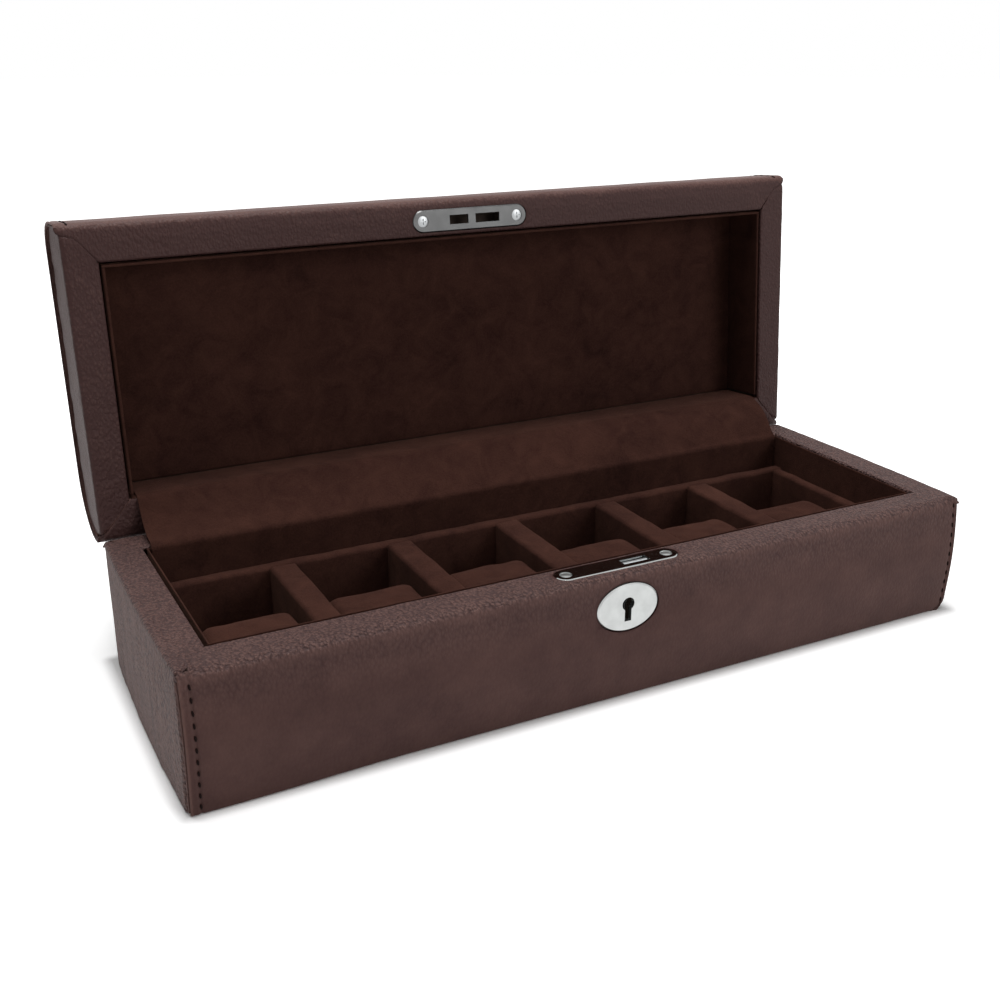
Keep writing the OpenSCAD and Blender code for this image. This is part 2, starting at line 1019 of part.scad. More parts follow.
// Leather of one end of the lid: cheek and end rim
module lid_cover()
color(leather_brown)
intersection() {
    along_y(-half_d, half_d)
    difference() {
        intersection() {
            lid_ends(0);
            area([in_x, lid_z], [end_x, lid_top]);
        }
        lid_ends(leather);
    }
    difference() {
        union() {
            along_x(in_x, end_x)
            intersection() {
                lid_inside();
                area([-half_d, lid_z + rim_fold], [half_d, lid_top]);
            }
            along_x(in_x, end_x)
            intersection() {
                lid_outside();
                area([-half_d, lid_z], [half_d, lid_z + rim_fold]);
            }
        }
        along_z(lid_z - past, lid_z + rim_fold)
        mitre_plan();
    }
}

module lid_right_cover()
open_lid()
lid_cover();

module lid_left_cover()
open_lid()
mirror([1, 0, 0])
lid_cover();

module lid_front_lining()
color(suede_brown)
open_lid()
facing()
lining_strip(in_front, 2 * hinge_z - lid_board_z);

module lid_rear_lining()
color(suede_brown)
open_lid()
facing()
lining_strip(lining_rear, 2 * hinge_z - lid_board_z);

module lid_end_linings()
color(suede_brown)
open_lid()
facing()
both()
end_lining(2 * hinge_z - lid_board_z);

module lid_panel()
color(suede_brown)
open_lid()
block([-lining_x, lining_front, lid_floor], [lining_x, lining_rear, lid_board_z]);

module strike_plate()
color(nickel)
open_lid()
facing()
difference() {
    rim_plate();
    plate_slot(bolt_x - window_long / 2, bolt_x + window_long / 2);
    plate_slot(window_left_edge, window_left_edge + left_window);
    plate_seats();
}

module strike_screws()
color(nickel)
open_lid()
facing()
at_plate_screws()
difference() {
    screw(screw_r, screw_head_r, head_dome, screw_length);
    block([-cross_arm, -cross_t / 2, -cross_depth], [cross_arm, cross_t / 2, past]);
    block([-cross_t / 2, -cross_arm, -cross_depth], [cross_t / 2, cross_arm, past]);
}

base_floor_board();
base_front_board();
base_rear_board();
base_end_boards();
base_wrap();
base_left_cover();
base_right_cover();
base_front_lining();
base_rear_lining();
base_end_linings();
tray_floor();
tray_front_rail();
tray_rear_rail();
tray_end_rails();
tray_divider(1);  // tray_divider_1
tray_divider(2);  // tray_divider_2
tray_divider(3);  // tray_divider_3
tray_divider(4);  // tray_divider_4
tray_divider(5);  // tray_divider_5
cushion(1);  // cushion_1
cushion(2);  // cushion_2
cushion(3);  // cushion_3
cushion(4);  // cushion_4
cushion(5);  // cushion_5
cushion(6);  // cushion_6
lock_case();
lock_plate();
lock_screws();
lock_bolt();
key_plate();
hinge_base_leaves();
hinge_pins();
hinge_base_screws();
hinge_flap();
lid_top_board();
lid_front_board();
lid_rear_board();
lid_end_boards();
lid_wrap();
lid_left_cover();
lid_right_cover();
lid_front_lining();
lid_rear_lining();
lid_end_linings();
lid_panel();
strike_plate();
strike_screws();
hinge_lid_leaves();
hinge_lid_screws();
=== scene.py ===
"""Looks of a watch box: padded leather over boards, a suede tray with six cushions, a lock and a hinged lid.

Sizes are in millimetres unless a name or a comment says otherwise. A mesh is brought to metres as its corners
are placed.
"""

import math

import bpy
import numpy as np
from mathutils import Matrix, Vector


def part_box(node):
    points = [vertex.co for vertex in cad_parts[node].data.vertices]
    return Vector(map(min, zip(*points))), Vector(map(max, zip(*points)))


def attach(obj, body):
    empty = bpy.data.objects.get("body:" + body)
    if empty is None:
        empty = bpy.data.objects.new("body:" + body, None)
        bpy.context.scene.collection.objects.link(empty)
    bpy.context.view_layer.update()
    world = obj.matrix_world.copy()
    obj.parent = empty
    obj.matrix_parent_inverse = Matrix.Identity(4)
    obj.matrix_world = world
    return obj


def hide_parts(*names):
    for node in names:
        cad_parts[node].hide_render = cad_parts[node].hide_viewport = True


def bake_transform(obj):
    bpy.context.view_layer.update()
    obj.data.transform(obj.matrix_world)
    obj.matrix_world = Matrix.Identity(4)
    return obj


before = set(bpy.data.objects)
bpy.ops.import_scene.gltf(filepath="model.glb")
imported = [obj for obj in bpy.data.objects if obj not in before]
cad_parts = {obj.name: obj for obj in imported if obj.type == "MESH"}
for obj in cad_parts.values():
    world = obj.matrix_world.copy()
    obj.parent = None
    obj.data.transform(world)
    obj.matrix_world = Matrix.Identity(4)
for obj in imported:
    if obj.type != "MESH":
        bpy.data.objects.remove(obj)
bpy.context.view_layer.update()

bl_info = {
    "name": "Watch box",
    "version": (1, 0, 0),
    "blender": (4, 5, 0),
    "location": "3D View > Sidebar > Watch Box",
    "description": "Padded leather watch box with a suede tray, six cushions, a lock and a hinged lid",
    "category": "Add Mesh",
}

MM = 0.001

# planes of the frame: x across, y from front to rear, z up, with the lid as it lies when closed
END_X = 165.5  # ends of the rims' leather
FLANGE_X = 167.5  # free ends of the wraps
IN_X = 154.5  # inner edges of the end rims
LINING_X = 152.5  # faces of the end linings
HALF_D = 59.0  # front and rear faces
IN_Y = 46.0  # inner edges of the long rims
LINING_Y = 44.0  # faces of the long linings
RIM_Z = 52.5  # rim of the base
LIP_Z = 52.1  # free edges of the base's linings
TRAY_TOP = 38.0
LID_Z = 53.0  # rim of the lid
LIP_LID_Z = 53.4  # free edges of the lid's linings
LID_FLOOR = 74.2  # face of the lid's padded panel
LID_PANEL_Z = 76.0  # back of the lid's padded panel
LID_TOP = 80.0
HINGE_Y, HINGE_Z = 60.2, 52.75
OPEN_ANGLE = math.radians(95)

# thickness of the hide and of what the linings add beyond their faces
LEATHER_T = 1.0
LIP_T = 0.65
LID_LIP_T = 1.1
LID_REAR_T = 0.25


# ---------------------------------------------------------------- sizes and colours a user would change


def colour_property(name, description, hex_code):
    """A colour property whose default is written as an sRGB hex code."""
    return bpy.props.FloatVectorProperty(
        name=name, description=description, subtype="COLOR", size=4, min=0, max=1, default=paint(hex_code)
    )


def length_property(name, description, millimetres):
    """A length property whose default is given in millimetres."""
    return bpy.props.FloatProperty(
        name=name, description=description, unit="LENGTH", min=0, default=millimetres * MM, precision=5
    )


def paint(hex_code):
    """Linear RGBA of an sRGB hex code."""
    channels = [int(hex_code[i : i + 2], 16) / 255 for i in (1, 3, 5)]
    return (*[c / 12.92 if c <= 0.04045 else ((c + 0.055) / 1.055) ** 2.4 for c in channels], 1.0)


class WatchBoxSizes(bpy.types.PropertyGroup):
    """Sizes of the soft work."""

    base_fold: length_property("Base fold", "Radius at which leather turns over the base rim", 3.0)
    base_foot: length_property("Foot radius", "Radius of the lower edges of the base", 0.6)
    face_swell: length_property("Face swell", "Rise of the padding under the long faces", 2.0)
    cheek_swell: length_property("Cheek swell", "Rise of the padding under the end cheeks", 1.1)
    stitch_pitch: length_property("Stitch pitch", "Distance from one stitch to the next", 4.45)
    thread: length_property("Thread", "Thickness of the sewing thread", 0.8)
    lip: length_property("Lip radius", "Radius of the free edges of the lining strips", 0.55)
    rail_edge: length_property("Rail edge", "Radius of the padded edges of the tray", 1.6)


class WatchBoxColours(bpy.types.PropertyGroup):
    """Colours of the materials."""

    leather: colour_property("Leather", "Chocolate leather", "#3e2826")
    # the worn colour is also painted light: the lit rims, folds, edges and cheeks are blended towards it
    leather_worn_and_lit: colour_property("Leather, worn", "Rubbed high spots of the leather", "#694d47")
    suede: colour_property("Suede", "Brown suede", "#4b3028")
    suede_dark: colour_property("Suede, brushed dark", "Nap of the suede lying away", "#2a1815")
    thread: colour_property("Thread", "Sewing thread", "#1d1210")
    nickel: colour_property("Nickel", "Plated fittings", "#b9bbba")
    # painted reflection: the strike plate's nickel is darkened to stand in for the dark surroundings it
    # mirrors
    nickel_painted_dark_reflection: colour_property("Dark nickel", "Plated strike, dulled by handling", "#5d5d5d")
    steel: colour_property("Steel", "Pins and lock case", "#8f9396")
    # painted shade: the board is coloured dark so that it reads as shade where it shows through the keyhole
    board: colour_property("Board", "Fibreboard of the box", "#3d2e23")
    floor: colour_property("Floor", "Studio floor", "#f4f4f4")


# ---------------------------------------------------------------- shop tools


def rest_tools():
    """Leaves edit mode and lets go of everything."""
    if bpy.context.object and bpy.context.object.mode != "OBJECT":
        bpy.ops.object.mode_set(mode="OBJECT")
    bpy.ops.object.select_all(action="DESELECT")


def take(obj):
    """Makes obj the one selected and active piece."""
    rest_tools()
    obj.select_set(True)
    bpy.context.view_layer.objects.active = obj


def settle(obj, name):
    """Names a new piece and brings its place and size into its mesh."""
    take(obj)
    bpy.ops.object.transform_apply(location=True, rotation=True, scale=True)
    obj.name = name
    obj.data.name = name
    return obj


def points_of(obj):
    """Corners of a mesh, in millimetres."""
    flat = np.empty(len(obj.data.vertices) * 3)
    obj.data.vertices.foreach_get("co", flat)
    return flat.reshape(-1, 3) / MM


def move_points(obj, points):
    """Puts the corners of a mesh at points, in millimetres."""
    obj.data.vertices.foreach_set("co", (np.asarray(points, float) * MM).ravel())
    obj.data.update()


def block(name, low, high):
    """A cube stretched from one corner to the other, to be shaped further."""
    rest_tools()
    low, high = np.array(low, float), np.array(high, float)
    bpy.ops.mesh.primitive_cube_add(size=1, location=tuple((low + high) / 2 * MM))
    obj = bpy.context.object
    obj.scale = tuple((high - low) * MM)
    return settle(obj, name)


def box_of(name):
    """Lowest and highest corner of a node, in millimetres."""
    return [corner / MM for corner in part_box(name)]


def pick(obj, kind, wanted):
    """Selects the edges or faces of obj for which wanted(centre, direction) is true, and stays in edit mode.
    Centres are in millimetres. The direction is a face's normal or an edge's line."""
    take(obj)
    bpy.ops.object.mode_set(mode="EDIT")
    bpy.ops.mesh.select_mode(type="EDGE" if kind == "edges" else "FACE")
    bpy.ops.mesh.select_all(action="DESELECT")
    bpy.ops.object.mode_set(mode="OBJECT")
    mesh = obj.data
    if kind == "edges":
        for edge in mesh.edges:
            a, b = (mesh.vertices[i].co / MM for i in edge.vertices)
            edge.select = bool(wanted((a + b) / 2, (b - a).normalized()))
    else:
        for face in mesh.polygons:
            face.select = bool(wanted(face.center / MM, face.normal))
    bpy.ops.object.mode_set(mode="EDIT")


def round_edges(obj, wanted, radius, steps=4):
    """Rounds the edges picked by wanted."""
    pick(obj, "edges", wanted)
    bpy.ops.mesh.bevel(offset=radius * MM, segments=steps, profile=0.5, affect="EDGES", clamp_overlap=True)
    bpy.ops.object.mode_set(mode="OBJECT")


def finish_modifier(obj, kind, **settings):
    """Adds a modifier to obj and applies it."""
    take(obj)
    modifier = obj.modifiers.new(kind.title(), kind)
    for key, value in settings.items():
        setattr(modifier, key, value)
    bpy.ops.object.modifier_apply(modifier=modifier.name)


def smooth(obj, degrees=40):
    """Smooth shading up to an angle between faces."""
    take(obj)
    bpy.ops.object.shade_smooth_by_angle(angle=math.radians(degrees))


def outward(obj):
    """Merges doubled corners and turns the faces outwards."""
    take(obj)
    bpy.ops.object.mode_set(mode="EDIT")
    bpy.ops.mesh.select_all(action="SELECT")
    bpy.ops.mesh.remove_doubles(threshold=0.00001)
    bpy.ops.mesh.normals_make_consistent(inside=False)
    bpy.ops.object.mode_set(mode="OBJECT")


def join(first, *others):
    """Joins pieces into the first."""
    take(first)
    for other in others:
        other.select_set(True)
    bpy.ops.object.join()
    return first


def copy_of(obj, name):
    """A copy of a piece with its own mesh."""
    made = obj.copy()
    made.data = obj.data.copy()
    made.name = name
    made.data.name = name
    bpy.context.scene.collection.objects.link(made)
    return made


def swing_open(obj):
    """Carries a piece drawn on the closed lid to where the open lid holds it."""
    pivot = Vector((0, HINGE_Y, HINGE_Z)) * MM
    turn = Matrix.Translation(pivot) @ Matrix.Rotation(-OPEN_ANGLE, 4, "X") @ Matrix.Translation(-pivot)
    obj.data.transform(turn)
    obj.data.update()


def give(obj, body, material, replaces=()):
    """Gives a finished piece its material, its body and the nodes it stands for."""
    obj.data.materials.clear()
    obj.data.materials.append(material)
    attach(obj, body)
    if replaces:
        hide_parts(*replaces)
    return obj


def attribute(obj, name, values):
    """Writes one number per corner, for a material to read."""
    layer = obj.data.attributes.get(name) or obj.data.attributes.new(name, "FLOAT", "POINT")
    layer.data.foreach_set("value", np.asarray(values, np.float32))


# ---------------------------------------------------------------- lines and sheets


def rounded_line(corners, steps=6):
    """Points of a line through corners (a, b, radius), each turned with its radius."""
    made = []
    count = len(corners)
    for i, (a, b, radius) in enumerate(corners):
        here = np.array([a, b], float)
        if i in (0, count - 1) or radius <= 0:
            made.append(here)
            continue
        before = np.array(corners[i - 1][:2], float) - here
        after = np.array(corners[i + 1][:2], float) - here
        before /= np.linalg.norm(before)
        after /= np.linalg.norm(after)
        half = math.acos(np.clip(before @ after, -1, 1)) / 2
        reach = radius / math.tan(half)
        middle = here + (before + after) / np.linalg.norm(before + after) * radius / math.sin(half)
        start, end = here + before * reach - middle, here + after * reach - middle
        sweep = math.atan2(start[0] * end[1] - start[1] * end[0], start @ end)
        for k in range(steps + 1):
            t = sweep * k / steps
            c, s = math.cos(t), math.sin(t)
            made.append(middle + np.array([start[0] * c - start[1] * s, start[0] * s + start[1] * c]))
    return np.array(made)


def fill_in(line, longest):
    """The same line with no step longer than longest."""
    made = [line[0]]
    for a, b in zip(line[:-1], line[1:]):
        n = max(1, int(math.ceil(np.linalg.norm(b - a) / longest)))
        made += [a + (b - a) * k / n for k in range(1, n + 1)]
    return np.array(made)


def sheet(name, across, along, place, thickness=LEATHER_T, side=-1):
    """A flat sheet of leather or suede, cut to a grid of across by along lines and laid by place(i, j).
    place gets the line numbers of the corners and gives their points, grain, and the tone of wear and painted
    light. side says where the thickness goes."""
    rest_tools()
    bpy.ops.mesh.primitive_grid_add(x_subdivisions=across - 1, y_subdivisions=along - 1, size=2)
    obj = settle(bpy.context.object, name)
    flat = points_of(obj) * MM

    def line_number(axis, lines):
        return np.rint(np.clip((flat[:, axis] + 1) / 2, 0, 1) * (lines - 1)).astype(int)

    points, grain, wear_and_painted_light = place(line_number(0, across), line_number(1, along))
    move_points(obj, points)
    attribute(obj, "grain", grain)
    attribute(obj, "wear_and_painted_light", wear_and_painted_light)
    if thickness:
        wall = thickness * MM
        finish_modifier(obj, "SOLIDIFY", thickness=wall, offset=side, use_even_offset=False, use_rim=True)
    return obj


def ramp(x, start, end):
    """0 before start, 1 after end, and smooth between them."""
    t = np.clip((np.asarray(x, float) - start) / (end - start), 0, 1)
    return t * t * (3 - 2 * t)


def fold(distance, radius):
    """How far a surface has dropped at a distance from the edge it turns over."""
    short = np.clip(radius - distance, 0, radius)
    return radius - np.sqrt(np.maximum(radius * radius - short * short, 0))


def soft_noise(x, y, seed, scale):
    """A smooth, repeatable unevenness between about -1 and 1."""
    rng = np.random.default_rng(seed)
    total = np.zeros_like(np.asarray(x, float))
    for _ in range(9):
        angle, shift, size = rng.uniform(0, math.tau), rng.uniform(0, math.tau), rng.uniform(0.6, 1.5)
        total += np.sin((x * math.cos(angle) + y * math.sin(angle)) * math.tau / (scale * size) + shift)
    return total / 4


def spread_columns(half, edge, fine, coarse):
    """Places from -half to half: fine steps within edge of both ends, coarse ones between them."""
    inner = half - edge
    middle = np.linspace(-inner, inner, int(round(2 * inner / coarse)) + 1)
    ends = np.linspace(inner, half, int(round(edge / fine)) + 1)[1:]
    return np.concatenate([-ends[::-1], middle, ends])


# ---------------------------------------------------------------- materials


def per(millimetres):
    """Scale of a texture whose pattern repeats about once in that many millimetres."""
    return 1 / (millimetres * MM)


def add(tree, kind, links=None, **settings):
    """Adds a shader node with its settings and its links, which give an input the socket that feeds it."""
    made = tree.nodes.new("ShaderNode" + kind)
    for key, value in settings.items():
        if hasattr(made, key):
            setattr(made, key, value)
        else:
            made.inputs[key.replace("_", " ")].default_value = value
    for key, source in (links or {}).items():
        tree.links.new(source, made.inputs[key])
    return made


def start_material(name, **shader):
    """A new material with its surface set: the material, its tree, the shader and object coordinates."""
    material = bpy.data.materials.new(name)
    material.use_nodes = True
    tree = material.node_tree
    surface = tree.nodes["Principled BSDF"]
    for key, value in shader.items():
        surface.inputs[key.replace("_", " ")].default_value = value
    return material, tree, surface, add(tree, "TexCoord").outputs["Object"]


def blend_colours(tree, factor, low, high, start=0.0, end=1.0):
    """A colour that runs from low to high as factor goes from start to end."""
    made = add(tree, "ValToRGB", {"Fac": factor})
    made.color_ramp.elements[0].position, made.color_ramp.elements[0].color = start, low
    made.color_ramp.elements[1].position, made.color_ramp.elements[1].color = end, high
    return made.outputs["Color"]


def darker(colour, share):
    """A colour with only a share of its light."""
    return (*[channel * share for channel in colour[:3]], 1)


def scaled(tree, value, by, plus=0.0):
    """value times by, plus a constant. by may be a socket."""
    made = add(tree, "Math", {0: value}, operation="MULTIPLY_ADD")
    if isinstance(by, (int, float)):
        made.inputs[1].default_value = by
    else:
        tree.links.new(by, made.inputs[1])
    made.inputs[2].default_value = plus
    return made.outputs[0]


def summed(tree, a, b):
    """The sum of two values."""
    return add(tree, "Math", {0: a, 1: b}, operation="ADD").outputs[0]


def bump(tree, surface, height, strength, depth):
    """Relief of a surface, depth millimetres deep where height is 1."""
    made = add(tree, "Bump", {"Height": height}, Distance=depth * MM)
    if isinstance(strength, (int, float)):
        made.inputs["Strength"].default_value = strength
    else:
        tree.links.new(strength, made.inputs["Strength"])
    tree.links.new(made.outputs["Normal"], surface.inputs["Normal"])


def make_leather(colours):
    """Chocolate calf leather: pebbled on the rims, drawn smooth over the padding, painted lighter on lit
    rims, folds, edges and cheeks.
    """
    material, tree, surface, place = start_material("chocolate_leather")
    grain = add(tree, "Attribute", attribute_name="grain").outputs["Fac"]
    wear_and_painted_light = add(tree, "Attribute", attribute_name="wear_and_painted_light").outputs["Fac"]
    warp = add(tree, "TexNoise", {"Vector": place}, Scale=per(2.2), Detail=2.0)
    drawn = add(tree, "Mapping", {"Vector": place}, Scale=(1.0, 1.0, 0.65))
    bent = add(tree, "MixRGB", {"Color1": drawn.outputs[0], "Color2": warp.outputs["Color"]}, Fac=0.0011)
    cells = {"Vector": bent.outputs[0]}
    pebbles = add(tree, "TexVoronoi", cells, feature="SMOOTH_F1", Scale=per(1.05), Smoothness=0.4)
    creases = add(tree, "TexVoronoi", cells, feature="DISTANCE_TO_EDGE", Scale=per(1.9))
    crease = add(tree, "MapRange", {"Value": creases.outputs["Distance"]}, From_Max=0.14)
    fine = add(tree, "TexNoise", {"Vector": place}, Scale=per(0.5), Detail=3.0)
    cloud = add(tree, "TexNoise", {"Vector": place}, Scale=per(14), Detail=4.0, Roughness=0.6)
    wide = add(tree, "TexNoise", {"Vector": place}, Scale=per(70), Detail=2.0)
    pebbled = scaled(tree, pebbles.outputs["Distance"], -1.3)
    height = summed(tree, pebbled, scaled(tree, crease.outputs[0], 0.14))
    height = summed(tree, height, scaled(tree, fine.outputs["Fac"], 0.45))
    bump(tree, surface, height, scaled(tree, grain, 0.44, 0.05), 1.0)
    tone = summed(tree, scaled(tree, cloud.outputs["Fac"], 0.45), scaled(tree, wide.outputs["Fac"], 0.3))
    # the wear attribute carries painted light: lighter where light falls on rims, folds, cheeks and edges,
    # darker where shade falls
    tone = summed(tree, tone, scaled(tree, wear_and_painted_light, 0.42, -0.18))
    tone = summed(tree, tone, scaled(tree, grain, scaled(tree, height, 0.45, 0.04)))
    colour = blend_colours(tree, tone, colours.leather, colours.leather_worn_and_lit, 0.15, 0.85)
    tree.links.new(colour, surface.inputs["Base Color"])
    tree.links.new(scaled(tree, grain, 0.13, 0.09), surface.inputs["Specular IOR Level"])
    gloss = summed(tree, scaled(tree, fine.outputs["Fac"], 0.14, 0.4), scaled(tree, grain, 0.1))
    tree.links.new(gloss, surface.inputs["Roughness"])
    return material


def make_suede(colours):
    """Brown suede: a short nap, brushed in soft clouds and strokes, that catches light at a low angle."""
    material, tree, surface, place = start_material(
        "brown_suede", Roughness=0.95, Specular_IOR_Level=0.05, Sheen_Weight=0.1, Sheen_Roughness=0.4
    )
    surface.inputs["Sheen Tint"].default_value = paint("#b98f7c")
    spot = {"Vector": place}
    cloud = add(tree, "TexNoise", spot, Scale=per(11), Detail=6.0, Roughness=0.68, Distortion=0.7)
    wide = add(tree, "TexNoise", spot, Scale=per(48), Detail=3.0, Roughness=0.5, Distortion=0.4)
    nap = add(tree, "TexNoise", spot, Scale=per(0.7), Detail=3.0, Roughness=0.7)
    tone = summed(tree, scaled(tree, cloud.outputs["Fac"], 0.62), scaled(tree, wide.outputs["Fac"], 0.38))
    tone = summed(tree, tone, scaled(tree, nap.outputs["Fac"], 0.4, -0.2))
    colour = blend_colours(tree, tone, colours.suede_dark, colours.suede, 0.27, 0.73)
    tree.links.new(colour, surface.inputs["Base Color"])
    height = summed(tree, scaled(tree, nap.outputs["Fac"], 0.9), scaled(tree, cloud.outputs["Fac"], 0.8))
    bump(tree, surface, height, 0.7, 0.35)
    return material


def make_thread(colours):
    """Waxed sewing thread, twisted along each stitch."""
    material, tree, surface, place = start_material("waxed_thread", Roughness=0.7, Specular_IOR_Level=0.06)
    twist = add(tree, "TexNoise", {"Vector": place}, Scale=per(0.35), Detail=2.0)
    colour = blend_colours(tree, twist.outputs["Fac"], darker(colours.thread, 0.5), colours.thread)
    tree.links.new(colour, surface.inputs["Base Color"])
    bump(tree, surface, twist.outputs["Fac"], 0.4, 0.1)
    return material


def make_metal(name, colour, roughness, brushed=0.0, dull=0.0):
    """Plated or bare metal: roughness and a faint brushing, with a little tarnish in the tone."""
    material, tree, surface, place = start_material(name, Metallic=1.0)
    stretch = add(tree, "Mapping", {"Vector": place}, Scale=(0.06, 1.0, 1.0))
    lines = add(tree, "TexNoise", {"Vector": stretch.outputs[0]}, Scale=per(0.25), Detail=2.0)
    cloud = add(tree, "TexNoise", {"Vector": place}, Scale=per(6), Detail=3.0)
    tone = blend_colours(tree, cloud.outputs["Fac"], darker(colour, 0.86 - dull), colour, 0.3, 0.6)
    tree.links.new(tone, surface.inputs["Base Color"])
    rough = scaled(tree, cloud.outputs["Fac"], 0.08, roughness - 0.04)
    rough = summed(tree, rough, scaled(tree, lines.outputs["Fac"], brushed * 0.3))
    tree.links.new(rough, surface.inputs["Roughness"])
    bump(tree, surface, lines.outputs["Fac"], 0.02 + brushed, 0.02)
    return material


def make_board(colours):
    """Fibreboard: matt, with pressed fibres showing as small light and dark flecks."""
    material, tree, surface, place = start_material("fibreboard", Roughness=0.85)
    fibres = add(tree, "TexNoise", {"Vector": place}, Scale=per(1.2), Detail=5.0, Roughness=0.7)
    colour = blend_colours(tree, fibres.outputs["Fac"], darker(colours.board, 0.55), colours.board, 0.3, 0.7)
    tree.links.new(colour, surface.inputs["Base Color"])
    bump(tree, surface, fibres.outputs["Fac"], 0.3, 0.2)
    return material


def material(name):
    """The material of that name, made when a piece first asks for it."""
    if name not in bpy.data.materials:
        colours = bpy.context.scene.watch_box_colours
        makers = {
            "chocolate_leather": lambda: make_leather(colours),
            "brown_suede": lambda: make_suede(colours),
            "waxed_thread": lambda: make_thread(colours),
            "polished_nickel": lambda: make_metal("polished_nickel", colours.nickel, 0.1),
            "satin_nickel": lambda: make_metal("satin_nickel", colours.nickel, 0.32, brushed=0.12),
            # painted reflection: darker nickel for the strike plate, standing in for the dark surroundings it
            # mirrors
            "nickel_painted_dark_reflection": lambda: make_metal("nickel_painted_dark_reflection", colours.nickel_painted_dark_reflection, 0.3, brushed=0.1),
            "steel": lambda: make_metal("steel", colours.steel, 0.38, brushed=0.2, dull=0.1),
            "fibreboard": lambda: make_board(colours),
        }
        makers[name]()
    return bpy.data.materials[name]


# ---------------------------------------------------------------- leather skins

# places of the leather work
STITCH_X = 164.0
RIGHT_STITCH_X = 165.4  # front of the base, where the hide was drawn farther
REAR_STITCH_X = STITCH_X - 0.8
REAR_FLANGE_X = 166.3
UNDER_FLANGE_X = 166.5
CHEEK_X = 166.0
BELOW_EDGE = 4.9  # how far the hide is turned down inside the rims
UNDER_X, UNDER_Y = 150, 50.0  # how far out the flat middle of the underside reaches
RIM_MIDDLE_Y = 50  # between the inner edges of the long rims and the faces

# radii at which the leather turns
EDGE_ROLL = 0.9
SHARP_FOLD = 1.0
END_FOLD = 1.4
REAR_ROW_FOLD = 3.0
LEFT_FOOT = 0.6
RIGHT_FOOT = 6.5
LID_RIM_FOLD = 5.0
LID_REAR_FOLD = 2.0
LID_FRONT_ROUND = 9.0
LID_REAR_ROUND = 20.0
LID_COVER_ROUND = 1.8
FREE_EDGE_ROLL = 0.55

# spacing of the grid lines of a hide
LINE_STEP = 1.5
LID_LINE_STEP = 1.7
UNDER_STEP = 10
COLUMN_EDGE, COLUMN_FINE, COLUMN_COARSE = 6.0, 0.35, 3.2
ROW_EDGE, ROW_FINE, ROW_COARSE = 5.0, 0.5, 2.4

# welts and stitches
TUCKED = 1.2  # how far the end covers stay behind the wraps
LID_RIGHT_TUCKED = 0.5
WELT_GAP = 0.15
WELT_INSET = 0.6
WELT_ACROSS = np.array([0, 0.45, 0.78, 0.95, 1.0])
BASE_WELT_PAST = 0.55
LID_WELT_PAST = -0.35
STITCH_SLANT = 0.13
STITCH_LENGTH = 2.8
STITCH_SINK = 0.12
STITCH_START, STITCH_END = 2.2, 2.4
STITCH_LOOK_AHEAD = 0.2
LEFT_SEAM_FOOT, RIGHT_SEAM_FOOT, SEAM_TOP = 0.8, 2.6, RIM_Z - 0.6
LID_SEAM_FOOT = 1.6
SEAM_POINTS = 40

SIDES = (("left", -1), ("right", 1))


def sizes():
    """The sizes that a user may change."""
    return bpy.context.scene.watch_box_sizes


def mitre_x(y):
    """Where the mitre of a corner lies across the box, at y."""
    return IN_X + (np.abs(y) - IN_Y) * (END_X - IN_X) / (HALF_D - IN_Y)


def mitre_y(x):
    """How far from the middle the mitre of a corner lies, at x."""
    return IN_Y + (x - IN_X) * (HALF_D - IN_Y) / (END_X - IN_X)


def cheek_reach(y):
    """How far out the end cheek stands at y, at the level of the rim: fuller towards the front."""
    along = np.clip(y / HALF_D, -1, 1)
    return CHEEK_X + 1.3 - 0.6 * along + sizes().cheek_swell / MM * (1 - along**2)


def cheek_drop(x, y):
    """How far the rim has turned down towards the cheek at a place in plan."""
    return fold(cheek_reach(y) - np.abs(x), END_FOLD)


def front_swell(x, z):
    """Padding under the front of the base: fuller towards the left, where the hide was drawn over last."""
    t = np.clip(z / RIM_Z, 0, 1)
    rise = sizes().face_swell / MM
    left = 0.5 + 1.5 * t + 1.15 * rise * np.sin(np.pi * t**1.15)
    right = 0.3 + 0.85 * rise * np.sin(np.pi * t**1.1)
    share = (x / FLANGE_X + 1) / 2
    foot = 1.9 * (1 - t) * ramp(-np.asarray(x, float), 85, 155)
    return left * (1 - share) + right * share + foot


def rear_swell(z):
    """Padding under the rear of the base."""
    return 0.3 + 0.6 * sizes().face_swell / MM * np.sin(np.pi * np.clip(z / RIM_Z, 0, 1) ** 1.2)


def key_plate_hollow(x, z):
    """How far the padding is pressed in around the key plate."""
    return 0.9 * np.exp(-((x / 24) ** 2 + ((z - 38.3) / 17) ** 2))


def lid_swell(t):
    """Padding over the lid, t running from 0 at its front rim over the top to 1 at its rear rim."""
    return sizes().face_swell / MM * (1 + 0.25 * t) * (1 + 0.12 * np.sin(np.pi * t))


def lid_flange(side, share):
    """How far out the lid's flange stands on a side, share running from 0 at the front to 1 at the rear."""
    return FLANGE_X + 1.2 - 0.3 * share - side * 0.1


def from_front(y):
    """Share of the way from the front to the rear of the box."""
    return (np.clip(y, -HALF_D, HALF_D) / HALF_D + 1) / 2


def groove(distance, depth, width):
    """Depth of a soft groove at a distance from its middle."""
    return depth * np.exp(-((distance / width) ** 2))


def sewn_edge(edge, reach, seam_x):
    """Relief of a flange: pressed in under the stitches, raised a little beyond them, rolled at its end."""
    pressed = groove(edge - seam_x, 0.4, 0.55) + groove(reach - 1.3 - edge, 0.15, 0.4)
    return 0.15 * ramp(edge, seam_x, seam_x + 1.2) - pressed - fold(reach - edge, FREE_EDGE_ROLL)


def sharp_share(x):
    """0 over the padded middle of a wrap's front and 1 at its stitched ends, where it is folded sharply."""
    return ramp(np.abs(x), STITCH_X - 2.5, STITCH_X - 0.3)


